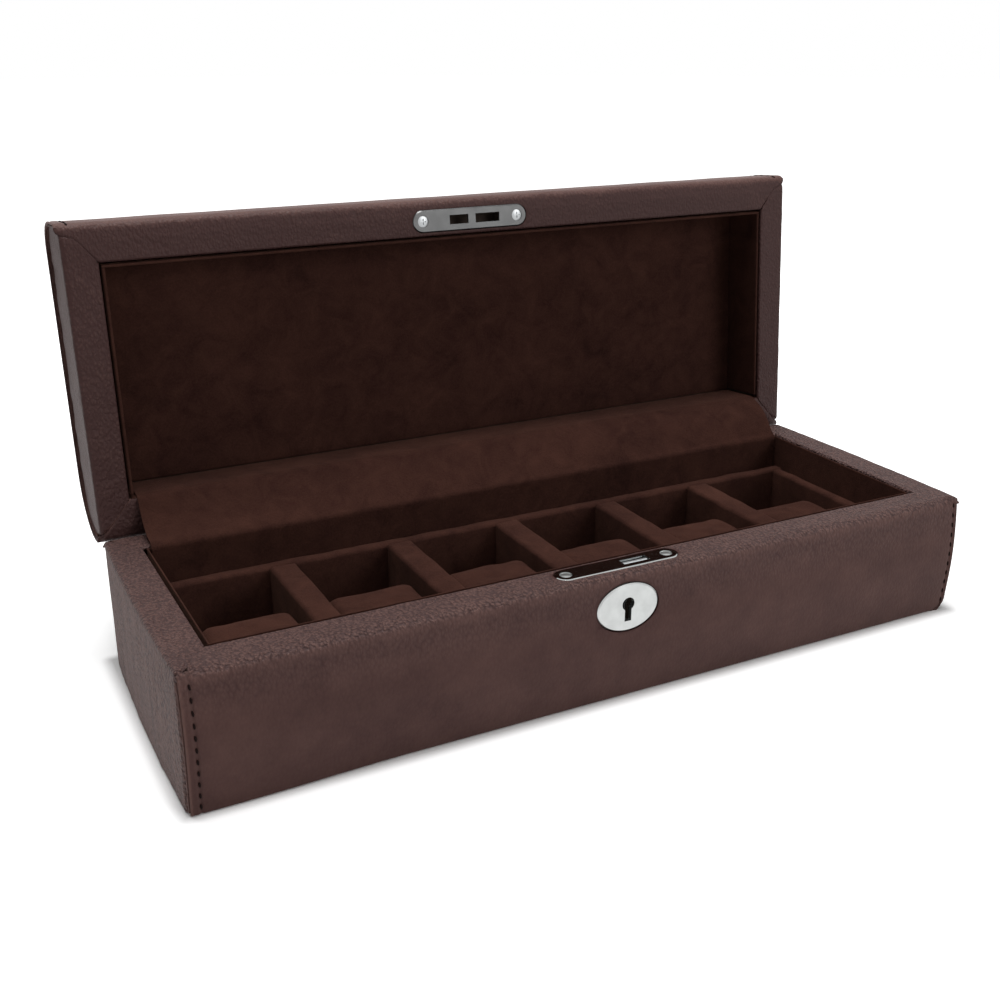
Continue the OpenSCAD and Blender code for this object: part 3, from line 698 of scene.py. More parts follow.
def rim_unevenness(x, y, fine_seed, wide_seed):
    """Small lumps of hide drawn over a rim."""
    return 0.10 * soft_noise(x, y, fine_seed, 9) + 0.07 * soft_noise(x, y, wide_seed, 30)


def refold(y, z, drawn, wanted):
    """Gives the fold over the base's rim, drawn at one radius, the radius wanted at each place."""
    turning = (z > RIM_Z - drawn) & (np.abs(y) > HALF_D - drawn)
    across = np.clip((np.abs(y) - HALF_D + drawn) / drawn, 0, 1)
    up = np.clip((z - RIM_Z + drawn) / drawn, 0, 1)
    turned_y = np.where(turning, np.sign(y) * (HALF_D - wanted + wanted * across), y)
    return turned_y, np.where(turning, RIM_Z - wanted + wanted * up, z)


def base_skin_line():
    """Section of the base's wrap, from the rear rim's inner edge, under the box, to the front rim's."""
    f, foot = sizes().base_fold / MM, sizes().base_foot / MM
    front = [
        (-UNDER_Y, 0, 0), (-HALF_D, 0, foot), (-HALF_D, RIM_Z, f), (-IN_Y, RIM_Z, EDGE_ROLL),
        (-IN_Y, RIM_Z - BELOW_EDGE, 0),
    ]
    half = fill_in(rounded_line(front), LINE_STEP)
    under = fill_in(np.array([[UNDER_Y, 0.0], [-UNDER_Y, 0.0]]), UNDER_STEP)
    rear = half[::-1] * [-1, 1]
    return np.vstack([rear[:-1], under, half[1:]])


def half_length(y, z):
    """Half-length of the base's wrap at a point of its section: mitred on the rims, flanged on its faces."""
    flange = np.where(y < 0, FLANGE_X, REAR_FLANGE_X)
    flange = np.where((z < 1.0) & (np.abs(y) < 58), UNDER_FLANGE_X, flange)
    on_face = ramp(RIM_Z - z, 0.05, 1.2)
    return mitre_x(y) * (1 - on_face) + flange * on_face


def make_base_wrap():
    """The wrap: one hide over front, underside and rear, folded onto both rims."""
    f = sizes().base_fold / MM
    line = base_skin_line()
    columns = spread_columns(FLANGE_X, COLUMN_EDGE, COLUMN_FINE, COLUMN_COARSE)

    def place(i, j):
        y, z = line[j, 0], line[j, 1]
        height = z
        front = y < 0
        reach = half_length(y, np.where(np.abs(y) < IN_Y + EDGE_ROLL, RIM_Z, z))
        x = columns[i] * reach / FLANGE_X
        edge = np.abs(x)
        tight = np.where(front, sharp_share(x), 1.0)
        y, z = refold(y, z, f, f + (SHARP_FOLD - f) * tight)
        x = np.where(x > 0, np.minimum(x, FLANGE_X - fold(z, RIGHT_FOOT)), x)

        # padding, seams and slack of the long faces
        side = ramp(RIM_Z - z, 1.5, 4.0)
        seam_x = np.where((x > 0) & front, RIGHT_STITCH_X, STITCH_X)
        out = np.where(front, front_swell(x, z) - key_plate_hollow(x, z), rear_swell(z))
        out = out + sewn_edge(edge, reach, seam_x) * side + 0.08 * soft_noise(x, z, 3, 42) * ramp(z, 2, 12)
        face = ramp(np.abs(y), HALF_D - f, HALF_D)
        y = y + np.sign(y) * out * face

        # the rims turn down towards the cheeks, and are a little uneven
        flat = (1 - ramp(RIM_Z - z, 0.6, 2.4)) * (height > RIM_Z / 2)
        z = z - cheek_drop(x, y) * flat * (1 - tight * face * front)
        rim = ramp(height, RIM_Z - 4, RIM_Z - 2) * (np.abs(y) > IN_Y + 0.5)
        z = z + rim * rim_unevenness(x, y, 11, 5)

        grain = 0.12 + 0.4 * ramp(z, 30, RIM_Z - 3) * np.where(front, 1, 0.4)
        grain = grain + 1.5 * ramp(height, RIM_Z - 3.2, RIM_Z - 1)
        # painted light: the free edge of each flange is painted lighter on the left as a highlight and darker
        # on the right as shade
        edge_highlight_and_shade = np.where(x < 0, 1.2, -1.0) * ramp(edge, reach - 0.9, reach - 0.3) * side
        # painted light: the rim and the top of the long faces are painted lighter, as lit from above
        wear_and_painted_light = 0.4 + 0.55 * ramp(height, RIM_Z - 7, RIM_Z - 1) + edge_highlight_and_shade
        return np.stack([x, y, z], 1), grain, wear_and_painted_light

    wrap = sheet("base_wrap_leather", len(columns), len(line), place)
    smooth(wrap, 60)
    return wrap


def cover_reach(sign, lid, z):
    """How far an end cover runs to the front and to the rear at each height, tucked in behind the wrap."""
    swell = sizes().face_swell / MM
    if lid:
        from_top = LID_TOP + swell - z
        front = HALF_D + swell - TUCKED - fold(from_top, LID_FRONT_ROUND)
        return front, HALF_D + 1.2 * swell - TUCKED - fold(from_top, LID_REAR_ROUND)
    return HALF_D + front_swell(sign * FLANGE_X, z) - TUCKED, HALF_D + rear_swell(z) - TUCKED


def make_cover(name, sign, lid):
    """One end cover: hide over the end rim and down the cheek, tucked behind the stitched flanges."""
    f = sizes().base_fold / MM
    level, far, up = (LID_Z, LID_TOP, -1) if lid else (RIM_Z, 0.0, 1)
    foot = LID_COVER_ROUND if lid else (LEFT_FOOT if sign < 0 else RIGHT_FOOT)
    corners = [
        (IN_X, level - up * BELOW_EDGE, 0), (IN_X, level, EDGE_ROLL), (CHEEK_X, level, END_FOLD),
        (CHEEK_X, far, foot), (UNDER_X, far, 0),
    ]
    line = fill_in(rounded_line(corners), LINE_STEP)
    rows = spread_columns(HALF_D, ROW_EDGE, ROW_FINE, ROW_COARSE)

    def place(i, j):
        x, z = line[j, 0], line[j, 1]
        way = rows[i] / HALF_D * (sign if lid else -sign)
        front, rear = cover_reach(sign, lid, z)
        mitre = mitre_y(np.where(x < IN_X + EDGE_ROLL, IN_X, x))
        drop_row = np.abs(z - level)

        # on the rim the cover ends a little under the wrap's mitre, down the cheek behind its flange
        on_rim = (x < CHEEK_X - END_FOLD + 0.01) & (drop_row < BELOW_EDGE + 0.6)
        turning = ramp(drop_row, 0.0, 2.0)
        under = mitre + 1.8 * ramp(x, IN_X + 3, IN_X + 7)
        last = HALF_D + np.where((way < 0) & (not lid), 0.6, -0.3)
        limit = under * (1 - turning) + np.where(way < 0, front, rear) * turning
        y = way * np.where(on_rim, np.minimum(under, last), limit)

        # the cheek's padding
        t = np.clip(drop_row / np.abs(far - level), 0, 1)
        if lid:
            tucked = TUCKED if sign < 0 else LID_RIGHT_TUCKED
            grow = lid_flange(sign, (y / HALF_D + 1) / 2) - CHEEK_X - tucked
        else:
            grow = (cheek_reach(y) - CHEEK_X) * (1.0 + 0.3 * t**1.5 + 0.1 * np.sin(np.pi * t))
            # drawn in behind the stitched flanges
            grow = grow - 1.6 * ramp(np.abs(way), 0.95, 0.99) * ramp(drop_row, 2, 5)
        x = x + grow * ramp(x, CHEEK_X - 6, CHEEK_X)

        # the rim follows the wrap's fold over the long face
        front_fold = LID_RIM_FOLD if lid else f + (SHARP_FOLD - f) * sharp_share(x)
        fold_r = np.where(y < 0, front_fold, LID_REAR_FOLD if lid else SHARP_FOLD)
        sunk = fold(HALF_D - np.abs(y), fold_r) + 0.4 * ramp(np.abs(y) - mitre, 0.0, 0.5)
        z = z - up * (1 - ramp(drop_row, 0.5, 2.4)) * sunk
        uneven = 0.10 * soft_noise(x, y, 21 + int(lid), 9) + 0.12 * soft_noise(y, z, 31, 26)
        z = z + np.where((drop_row < 2) & (x > IN_X + 0.5), uneven * 0.8, 0)
        x = x + np.where(drop_row > 3, uneven * 1.2, 0)

        grain = np.full(len(i), 0.6 if lid else 2.0)
        if lid:
            # the mitre carries a painted highlight at the rear and a dark seam at the front
            wear_and_painted_light = mitre_highlight_and_dark_seam(y, sign < 0) * groove(np.abs(y) - mitre, 1, 0.4) * (drop_row < 2) - 0.05
        else:
            # painted light: the cheek is painted lighter than the rim, as lit from the side, with a random
            # tone over it
            wear_and_painted_light = np.where(drop_row < 2, 0.85, 1.3 + 0.4 * soft_noise(y * 3, z * 0.6, 41, 30))
        return np.stack([sign * x, y, z], 1), grain, wear_and_painted_light

    cover = sheet(name, len(rows), len(line), place)
    smooth(cover, 60)
    return cover


def mitre_highlight_and_dark_seam(y, left):
    """Painted light along the lid's mitres: a painted highlight at the rear, a dark seam at the front, faint
    on the right.
    """
    return np.where(y > 0, 1.4, -0.9) * np.where(left, 1, 0.2)


def lid_skin_line():
    """Section of the closed lid's wrap, from the front rim's inner edge, over the top, to the rear rim's."""
    rear = [(HALF_D, LID_Z, LID_REAR_FOLD), (IN_Y, LID_Z, EDGE_ROLL), (IN_Y, LID_Z + BELOW_EDGE, 0)]
    corners = [
        (-IN_Y, LID_Z + BELOW_EDGE, 0), (-IN_Y, LID_Z, EDGE_ROLL), (-HALF_D, LID_Z, LID_RIM_FOLD),
        (-HALF_D, LID_TOP, LID_FRONT_ROUND), (HALF_D, LID_TOP, LID_REAR_ROUND), *rear,
    ]
    return fill_in(rounded_line(corners, 8), LID_LINE_STEP)


def line_normals(line):
    """Unit normals on the left of a line's run."""
    ahead = np.gradient(line, axis=0)
    ahead /= np.linalg.norm(ahead, axis=1)[:, None]
    return np.stack([-ahead[:, 1], ahead[:, 0]], 1)


def lengths_along(line):
    """Length of a line up to each of its points."""
    return np.concatenate([[0], np.cumsum(np.linalg.norm(np.diff(line, axis=0), axis=1))])


def lid_run(line):
    """How far along the lid's section each point lies, from 0 at the front rim to 1 at the rear rim."""
    run = lengths_along(line)
    outside = np.abs(line[:, 0]) > RIM_MIDDLE_Y
    above = np.flatnonzero((line[:, 1] > LID_Z + sizes().base_fold / MM) & outside)
    return np.clip((run - run[above[0]]) / (run[above[-1]] - run[above[0]]), 0, 1)


def make_lid_wrap():
    """The lid's wrap: one hide from rim to rim over the padded top, drawn on the closed lid."""
    line = lid_skin_line()
    normal = line_normals(line)
    share = lid_run(line)
    columns = spread_columns(FLANGE_X, COLUMN_EDGE, COLUMN_FINE, COLUMN_COARSE)

    def place(i, j):
        y, z = line[j, 0], line[j, 1]
        level = np.where((np.abs(y) < IN_Y + EDGE_ROLL) & (z < LID_Z + 10), LID_Z, z)
        above = level - LID_Z
        mitre = mitre_x(np.clip(np.abs(y), IN_Y, HALF_D))
        on_face = ramp(above, 0.05, 1.2)
        flange = lid_flange(np.sign(columns[i]), from_front(y))
        reach = mitre * (1 - on_face) + flange * on_face
        x = columns[i] * reach / FLANGE_X
        edge = np.abs(x)

        # padding, seams and slack over the top
        out = lid_swell(share[j]) * ramp(above, 0.0, 2.5)
        out = out + sewn_edge(edge, reach, STITCH_X) * ramp(above, 1.5, 4.0)
        out = out + 0.07 * soft_noise(x, share[j] * 150, 7, 38) * ramp(above, 3, 8)
        out = out + 0.7 * ramp(share[j], 0.85, 1.0) * ramp(above, 0.0, 1.5)
        y = y + normal[j, 0] * out
        z = z + normal[j, 1] * out

        # the rims turn up towards the cheeks, and are a little uneven
        z = z + cheek_drop(x, np.clip(y, -HALF_D, HALF_D)) * (1 - ramp(above, 0.6, 2.4))
        rim = (1 - ramp(level, LID_Z + 2, LID_Z + 4)) * (np.abs(y) > IN_Y + 0.5)
        mitred = groove(np.abs(edge - mitre), 1, 0.5) * (1 - on_face)
        z = z - rim * rim_unevenness(x, y, 13, 6) + 0.35 * mitred

        grain = np.where(level < LID_Z + sizes().base_fold / MM, 0.6, 0.3)
        # painted light: the lid's front wall, which faces up when the lid is open, is painted lighter as lit
        # from above
        wear_and_painted_light = mitre_highlight_and_dark_seam(y, x < 0) * mitred - 0.05 + 0.9 * ramp(above, 0.8, 2.5) * (share[j] < 0.2)
        return np.stack([x, y, z], 1), grain, wear_and_painted_light

    wrap = sheet("lid_wrap_leather", len(columns), len(line), place)
    smooth(wrap, 60)
    return wrap


def make_welt(name, sign, line, normal, flange, past):
    """The turned-in second layer behind a flange: a strip along the wrap that ends past its free edge."""
    start = STITCH_X - WELT_INSET

    def place(i, j):
        edge = flange[j] + past
        x = start + (edge - start) * WELT_ACROSS[i]
        back = LEATHER_T + WELT_GAP + fold(edge - x, 0.4)
        spots = line[j] - normal[j] * back[:, None]
        half = np.full(len(i), 0.5)
        # painted highlight: the welt is painted lighter towards its free edge, a line catching light
        return np.column_stack([sign * x, spots]), half, half + 0.9 * WELT_ACROSS[i] ** 4

    strip = sheet(name, len(WELT_ACROSS), len(line), place, thickness=0)
    outward(strip)
    return strip


def stitch_row(name, line, normal, x):
    """A row of stitches along a seam: one loop of thread, modelled once and repeated at each place."""
    radius = sizes().thread / MM / 2
    run = lengths_along(line)
    where = np.arange(STITCH_START, run[-1] - STITCH_END, sizes().stitch_pitch / MM)

    def at(values, places):
        return np.stack([np.interp(places, run, values[:, k]) for k in (0, 1)], 1)

    spots = at(line, where)
    ahead = at(line, where + STITCH_LOOK_AHEAD) - spots
    spots = spots - at(normal, where) * STITCH_SINK
    rest_tools()
    bpy.ops.mesh.primitive_uv_sphere_add(segments=8, ring_count=6, radius=1)
    obj = settle(bpy.context.object, name)
    one = points_of(obj) * MM
    faces = [tuple(p.vertices) for p in obj.data.polygons]
    every, all_faces = [], []
    for k, (spot, way) in enumerate(zip(spots, ahead)):
        along = np.array([0.0, *way]) / np.linalg.norm(way)
        side = np.cross(along, [1.0, 0, 0])
        side /= np.linalg.norm(side)
        axis = along + np.cross(along, side) * STITCH_SLANT
        axis /= np.linalg.norm(axis)
        basis = np.stack([side * radius, np.cross(axis, side) * radius, axis * radius * STITCH_LENGTH])
        every.append(one @ basis + np.array([x, *spot]))
        all_faces += [tuple(v + k * len(one) for v in f) for f in faces]
    mesh = bpy.data.meshes.new(name)
    mesh.from_pydata([tuple(p) for p in (np.concatenate(every) * MM)], [], all_faces)
    obj.data = mesh
    outward(obj)
    smooth(obj, 80)
    return obj


def base_seams(sign):
    """Seams at an end of the base's wrap: label, line, outward normals, x of the thread, reach of the flange.
    Only a seam with a flange gets a welt."""
    z = np.linspace(LEFT_SEAM_FOOT if sign < 0 else RIGHT_SEAM_FOOT, SEAM_TOP, SEAM_POINTS)
    front = np.stack([-(HALF_D + front_swell(sign * FLANGE_X, z) - fold(RIM_Z - z, SHARP_FOLD)), z], 1)
    rear = np.stack([HALF_D + rear_swell(z) - fold(RIM_Z - z, REAR_ROW_FOLD), z], 1)
    flange = FLANGE_X - 1.8 * (1 - ramp(RIM_Z - z, 0.5, 3.0))
    if sign > 0:
        flange = flange - fold(z, RIGHT_FOOT)
    front_x = STITCH_X if sign < 0 else RIGHT_STITCH_X
    return [
        ("front", front, line_normals(front), front_x, flange),
        ("rear", rear, -line_normals(rear), REAR_STITCH_X, None),
    ]


def lid_seams(sign):
    """The seam at an end of the lid's wrap, round its faces and its top, as base_seams gives them."""
    line = lid_skin_line()
    share = lid_run(line)
    flange = lid_flange(sign, from_front(line[:, 0]))
    # the hide that is turned down inside the rims has no seam
    past_turned = (line[:, 1] > LID_Z + 2 * BELOW_EDGE) | (np.abs(line[:, 0]) > RIM_MIDDLE_Y)
    keep = (line[:, 1] > LID_Z + LID_SEAM_FOOT) & past_turned
    swell = lid_swell(share) * ramp(line[:, 1] - LID_Z, 0.0, 2.5)
    line = (line + line_normals(line) * swell[:, None])[keep]
    return [("around", line, line_normals(line), STITCH_X, flange[keep])]


def make_flange_work(part):
    """Welts and stitching at both ends of a wrap."""
    hide, thread = material("chocolate_leather"), material("waxed_thread")
    seams, past = (base_seams, BASE_WELT_PAST) if part == "base" else (lid_seams, LID_WELT_PAST)
    for end, sign in SIDES:
        for label, line, normal, x, flange in seams(sign):
            name = f"{part}_{end}_{label}"
            made = []
            if flange is not None:
                made.append((make_welt(f"{name}_welt", sign, line, normal, flange, past), hide))
            made.append((stitch_row(f"{name}_stitches", line, normal, sign * x), thread))
            for piece, finish in made:
                if part == "lid":
                    swing_open(piece)
                give(piece, part, finish)


# ---------------------------------------------------------------- suede strips, tray and cushions


CUSHION_EASE = 1.6  # how much smaller the foam is than the filled cushion
CUSHION_CORNER, CUSHION_EDGE = 10.0, 3.4
CUSHION_GRAIN = 1.6  # size of the grid that its skin is laid on
CUSHION_FILLING = 1.5  # farthest that the filling swells it
CUSHION_FRAMES = 20
SLOT_CLEARANCE = 0.1
# how far each cushion's top leans, its rear grows and its top sinks
CUSHION_LIES = (
    (0.2, -3.0, 0.0), (0.1, -0.6, 0.2), (-0.1, 0.6, 0.1),
    (0.1, 0.6, 0.3), (-0.2, 0.2, 0.2), (-0.4, -1.0, 0.0),
)

PANEL_GAP = 0.05
PANEL_UNDER_FLAP = 0.8
PANEL_EDGE = 1.1
PANEL_CROWN = 0.5
END_RAIL_T = 5.3

FLAP_X = 151.5  # half its width
FLAP_T = 0.9
FLAP_BEHIND = 43.35  # where it hangs behind the tray
FLAP_WALL = LINING_Y + 1.25  # where it lies against the lid's rear lining
FLAP_TUCK = 10  # how far it reaches below the tray's top
FLAP_CLEARANCE = 0.75
# how far the flap bulges forward of and above its drawn line, or sags below it, at places across the box
FLAP_FALL_AT = (-FLAP_X, -138, -112, 0, FLAP_X)
FLAP_FALL = (-3.2, -1.6, -0.3, 0.8, 2.2)
FLAP_START, FLAP_END = LINING_Y + 0.8, 61.4  # where its free part begins and ends, from front to rear
FLAP_EDGE, FLAP_FINE, FLAP_COARSE = 6.0, 0.8, 3.0


def suede_strip(name, low, high, radius):
    """A board strip wrapped in suede, its upper long edges rounded over the padding."""
    obj = block(name, low, high)
    axis = 0 if high[0] - low[0] > high[1] - low[1] else 1
    width = (high[1 - axis] - low[1 - axis]) / 2 - 0.05
    round_edges(obj, lambda c, d: abs(c[2] - high[2]) < 0.01 and abs(d[axis]) > 0.9, min(radius, width), 5)
    smooth(obj, 50)
    return obj


def soften(obj, seed, amount, cell):
    """Gives the top of a padded strip the slight unevenness of hand-laid suede."""
    low, high = points_of(obj).min(0), points_of(obj).max(0)
    axis = 0 if high[0] - low[0] > high[1] - low[1] else 1
    pick(obj, "edges", lambda c, d: abs(d[axis]) > 0.99)
    bpy.ops.mesh.subdivide(number_cuts=int((high[axis] - low[axis]) / 3))
    bpy.ops.object.mode_set(mode="OBJECT")
    p = points_of(obj)
    top = ramp(p[:, 2], high[2] - 3, high[2] - 0.5)
    p[:, 2] -= amount * (0.5 + 0.5 * soft_noise(p[:, 0], p[:, 1], seed, cell)) * top
    sides = 1 - axis
    middle = (low[sides] + high[sides]) / 2
    pull = amount * (0.4 + 0.6 * soft_noise(p[:, axis], p[:, 2], seed + 50, cell * 1.6)) * top
    p[:, sides] -= np.sign(p[:, sides] - middle) * np.abs(pull)
    move_points(obj, p)


def make_cushion_form():
    """A watch cushion round the origin: a pillow in suede, swollen by its filling, flat where it rests."""
    low, high = box_of("cushion_1")
    size = high - low
    far_x, far_y = size[0] / 2 - CUSHION_EASE, size[1] / 2 - CUSHION_EASE
    obj = block("cushion_form", (-far_x, -far_y, 0.2), (far_x, far_y, size[2] - CUSHION_EASE))
    round_edges(obj, lambda c, d: abs(d[0]) > 0.9 and c[2] > size[2] / 2, CUSHION_CORNER, 8)
    round_edges(obj, lambda c, d: abs(d[0]) < 0.3 and c[2] > 2, CUSHION_EDGE, 5)
    finish_modifier(obj, "REMESH", mode="VOXEL", voxel_size=CUSHION_GRAIN * MM, use_smooth_shade=True)
    start = points_of(obj)
    take(obj)
    cloth = obj.modifiers.new("Filling", "CLOTH")
    cloth.settings.use_pressure = True
    cloth.settings.uniform_pressure_force = 4.0
    cloth.settings.effector_weights.gravity = 0.0
    cloth.settings.mass = 0.2
    cloth.settings.tension_stiffness = 12
    cloth.settings.bending_stiffness = 0.6
    cloth.point_cache.frame_start, cloth.point_cache.frame_end = 1, CUSHION_FRAMES
    for number in range(1, CUSHION_FRAMES + 1):
        bpy.context.scene.frame_set(number)
    bpy.ops.object.modifier_apply(modifier=cloth.name)
    bpy.context.scene.frame_set(1)
    way = points_of(obj) - start
    far = np.linalg.norm(way, axis=1)
    now = start + way * np.minimum(1, CUSHION_FILLING / np.maximum(far, 1e-6))[:, None]
    for axis in (0, 1):
        room = size[axis] / 2 - SLOT_CLEARANCE
        now[:, axis] = np.clip(now[:, axis], -room, room)
    now[:, 2] = np.clip(now[:, 2], 0.02, size[2])
    move_points(obj, now)
    finish_modifier(obj, "SMOOTH", factor=0.5, iterations=4)
    return obj, size


def make_cushions():
    """Six cushions, each a copy of the same form with its own lie in its slot."""
    form, size = make_cushion_form()
    base = points_of(form)
    for number, (aside, length, sink) in enumerate(CUSHION_LIES, 1):
        name = f"cushion_{number}"
        low, high = box_of(name)
        made = copy_of(form, f"{name}_suede")
        p = base.copy()
        height = np.clip(p[:, 2] / size[2], 0, 1)
        rear = np.clip(p[:, 1] / size[1] + 0.5, 0, 1)
        p[:, 1] += length * rear
        dent = 0.35 * soft_noise(p[:, 0], p[:, 1], 40 + number, 15) - 0.25
        p[:, 2] += np.minimum(dent, 0.2) * height**3 - sink * height**2
        p[:, 0] += aside * height
        p += np.array([(low[0] + high[0]) / 2, (low[1] + high[1]) / 2, low[2]])
        p[:, 2] = np.clip(p[:, 2], low[2] + 0.01, high[2])
        move_points(made, p)
        smooth(made, 80)
        give(made, name, material("brown_suede"), [name])
    bpy.data.objects.remove(form)


def flap_line():
    """Section of the suede flap of the open box, from its end behind the tray up to the lid's recess."""
    def swung(y, z):
        a, b = y - HINGE_Y, z - HINGE_Z
        c, s = math.cos(OPEN_ANGLE), math.sin(OPEN_ANGLE)
        return HINGE_Y + a * c + b * s, HINGE_Z - a * s + b * c

    corners = [
        (FLAP_BEHIND, TRAY_TOP - FLAP_TUCK, 0), (FLAP_BEHIND, LIP_Z + 0.3, 2.5),
        (*swung(FLAP_WALL, LIP_LID_Z), 6.0), (*swung(FLAP_WALL, LID_FLOOR), 0),
    ]
    return fill_in(rounded_line(corners), 1.2)


def make_flap():
    """The flap and its length: suede held in the lid and tucked behind the tray, falling over the hinges."""
    line = flap_line()
    normal = line_normals(line)
    run = lengths_along(line)
    low, high = (run[np.argmax(line[:, 0] > y)] for y in (FLAP_START, FLAP_END))
    columns = spread_columns(FLAP_X, FLAP_EDGE, FLAP_FINE, FLAP_COARSE)

    def place(i, j):
        x, y, z = columns[i], line[j, 0], line[j, 1]
        t = np.clip((run[j] - low) / (high - low), 0, 1)
        fall = np.interp(x, FLAP_FALL_AT, FLAP_FALL) * np.sin(np.pi * t ** np.where(x < 0, 0.85, 1.15))
        slack = 0.45 * soft_noise(x, run[j], 17, 60) + 0.14 * soft_noise(x, run[j], 19, 18)
        roll = fall + np.sin(np.pi * t) * slack
        roll = roll + 0.15 * soft_noise(x, run[j], 23, 34) * ramp(low - run[j], 0, 3) * ramp(run[j], 6, 10)
        y, z = y + normal[j, 0] * roll, z + normal[j, 1] * roll
        # over the rear rim it rests on the leather
        z = np.where(y > IN_Y - 0.8, np.maximum(z, RIM_Z + FLAP_CLEARANCE), z)
        plain = np.zeros(len(i))
        return np.stack([x, y, z], 1), plain, plain

    flap = sheet("hinge_flap_suede", len(columns), len(line), place, thickness=FLAP_T, side=0)
    smooth(flap, 60)
    return flap, run[-1]


# ---------------------------------------------------------------- operators


class BaseLeather(bpy.types.Operator):
    """Wraps the base: hide over the long faces, end covers, welts and stitching"""

    bl_idname = "watch_box.base_leather"
    bl_label = "Base leather"

    def execute(self, context):
        hide = material("chocolate_leather")
        wrap = make_base_wrap()
        cut_lock_openings(wrap)
        give(wrap, "base", hide, ["base_wrap"])
        for side, sign in SIDES:
            cover = make_cover(f"base_{side}_cover_leather", sign, False)
            give(cover, "base", hide, [f"base_{side}_cover"])
        make_flange_work("base")
        return {"FINISHED"}


class LidLeather(bpy.types.Operator):
    """Wraps the lid: hide over the padded top, end covers, welts and stitching"""

    bl_idname = "watch_box.lid_leather"
    bl_label = "Lid leather"

    def execute(self, context):
        hide = material("chocolate_leather")
        wrap = make_lid_wrap()
        cut_strike_opening(wrap)
        swing_open(wrap)
        give(wrap, "lid", hide, ["lid_wrap"])
        for side, sign in SIDES:
            cover = make_cover(f"lid_{side}_cover_leather", sign, True)
            swing_open(cover)
            give(cover, "lid", hide, [f"lid_{side}_cover"])
        make_flange_work("lid")
        return {"FINISHED"}


PLATE_HALF = 26.75
PLATE_HALF_WIDTH = 4.6
LOCK_Y = -52.1
OPENING_ROOM = 0.12
OVAL_ROOM = 0.3


def plate_cutter(name, low, high):
    """A cutter with the round-ended shape of the lock plate and the strike plate."""
    rest_tools()
    half, radius = PLATE_HALF + OPENING_ROOM, PLATE_HALF_WIDTH + OPENING_ROOM
    middle, deep = (0, LOCK_Y * MM, (low + high) / 2 * MM), (high - low) * MM
    bpy.ops.mesh.primitive_cylinder_add(vertices=48, radius=radius * MM, depth=deep, location=middle)
    obj = settle(bpy.context.object, name)
    p = points_of(obj)
    p[:, 0] += np.where(p[:, 0] > 0.01, half - radius, np.where(p[:, 0] < -0.01, radius - half, 0))
    move_points(obj, p)
    return obj


def cut(obj, cutter):
    """Cuts a shape out of a piece and throws the cutter away."""
    finish_modifier(obj, "BOOLEAN", operation="DIFFERENCE", object=cutter, solver="EXACT")
    bpy.data.objects.remove(cutter)


def cut_lock_openings(wrap):
    """Opens the wrap for the lock plate and for the oval key plate."""
    low, high = box_of("key_plate")
    middle = (0, -HALF_D * MM, (low[2] + high[2]) / 2 * MM)
    lying = (math.pi / 2, 0, 0)
    rest_tools()
    bpy.ops.mesh.primitive_cylinder_add(vertices=72, radius=1, depth=16 * MM, rotation=lying, location=middle)
    oval = bpy.context.object
    oval.scale = (*[((high[k] - low[k]) / 2 + OVAL_ROOM) * MM for k in (0, 2)], 1)
    settle(oval, "oval_cutter")
    cut(wrap, join(plate_cutter("lock_cutter", RIM_Z - 4, RIM_Z + 3), oval))


def cut_strike_opening(wrap):
    """Opens the lid's wrap for the strike plate."""
    cut(wrap, plate_cutter("strike_cutter", LID_Z - 3, LID_Z + 4))


class Linings(bpy.types.Operator):
    """Lines base and lid with suede covered strips and a padded panel"""

    bl_idname = "watch_box.linings"
    bl_label = "Linings"

    def execute(self, context):
        make_lining_strips("base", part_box("base_front_lining")[0][2] / MM, LIP_Z)
        make_lining_strips("lid", LIP_LID_Z, LID_PANEL_Z)
        make_lid_panel()
        return {"FINISHED"}


def make_lining_strips(part, low, high):
    """Four suede covered strips round the inside of a part, their free edges just clear of the leather."""
    in_base = part == "base"
    lip, free = (LIP_T, LIP_Z) if in_base else (LID_LIP_T, LIP_LID_Z)
    out_x, out_y = LINING_X + lip, LINING_Y + lip
    rear = (LINING_Y, LINING_Y + LIP_T) if in_base else (IN_Y - LID_REAR_T, IN_Y)
    plans = {
        "front": ((-out_x, -out_y), (out_x, -LINING_Y), 0),
        "rear": ((-out_x, rear[0]), (out_x, rear[1]), 0),
        "left": ((-out_x, -LINING_Y), (-LINING_X, LINING_Y), 1),
        "right": ((LINING_X, -LINING_Y), (out_x, LINING_Y), 1),
    }
    for side, (start, end, axis) in plans.items():
        strip = block(f"{part}_{side}_lining_suede", (*start, low), (*end, high))
        thick = end[1 - axis] - start[1 - axis]
        radius = min(sizes().lip / MM, 0.45 * thick)
        round_edges(strip, lambda c, d: abs(c[2] - free) < 0.01 and abs(d[axis]) > 0.9, radius, 4)
        smooth(strip, 50)
        if part == "lid":
            swing_open(strip)
        nodes = {"left": [f"{part}_end_linings"], "right": []}.get(side, [f"{part}_{side}_lining"])
        give(strip, part, material("brown_suede"), nodes)


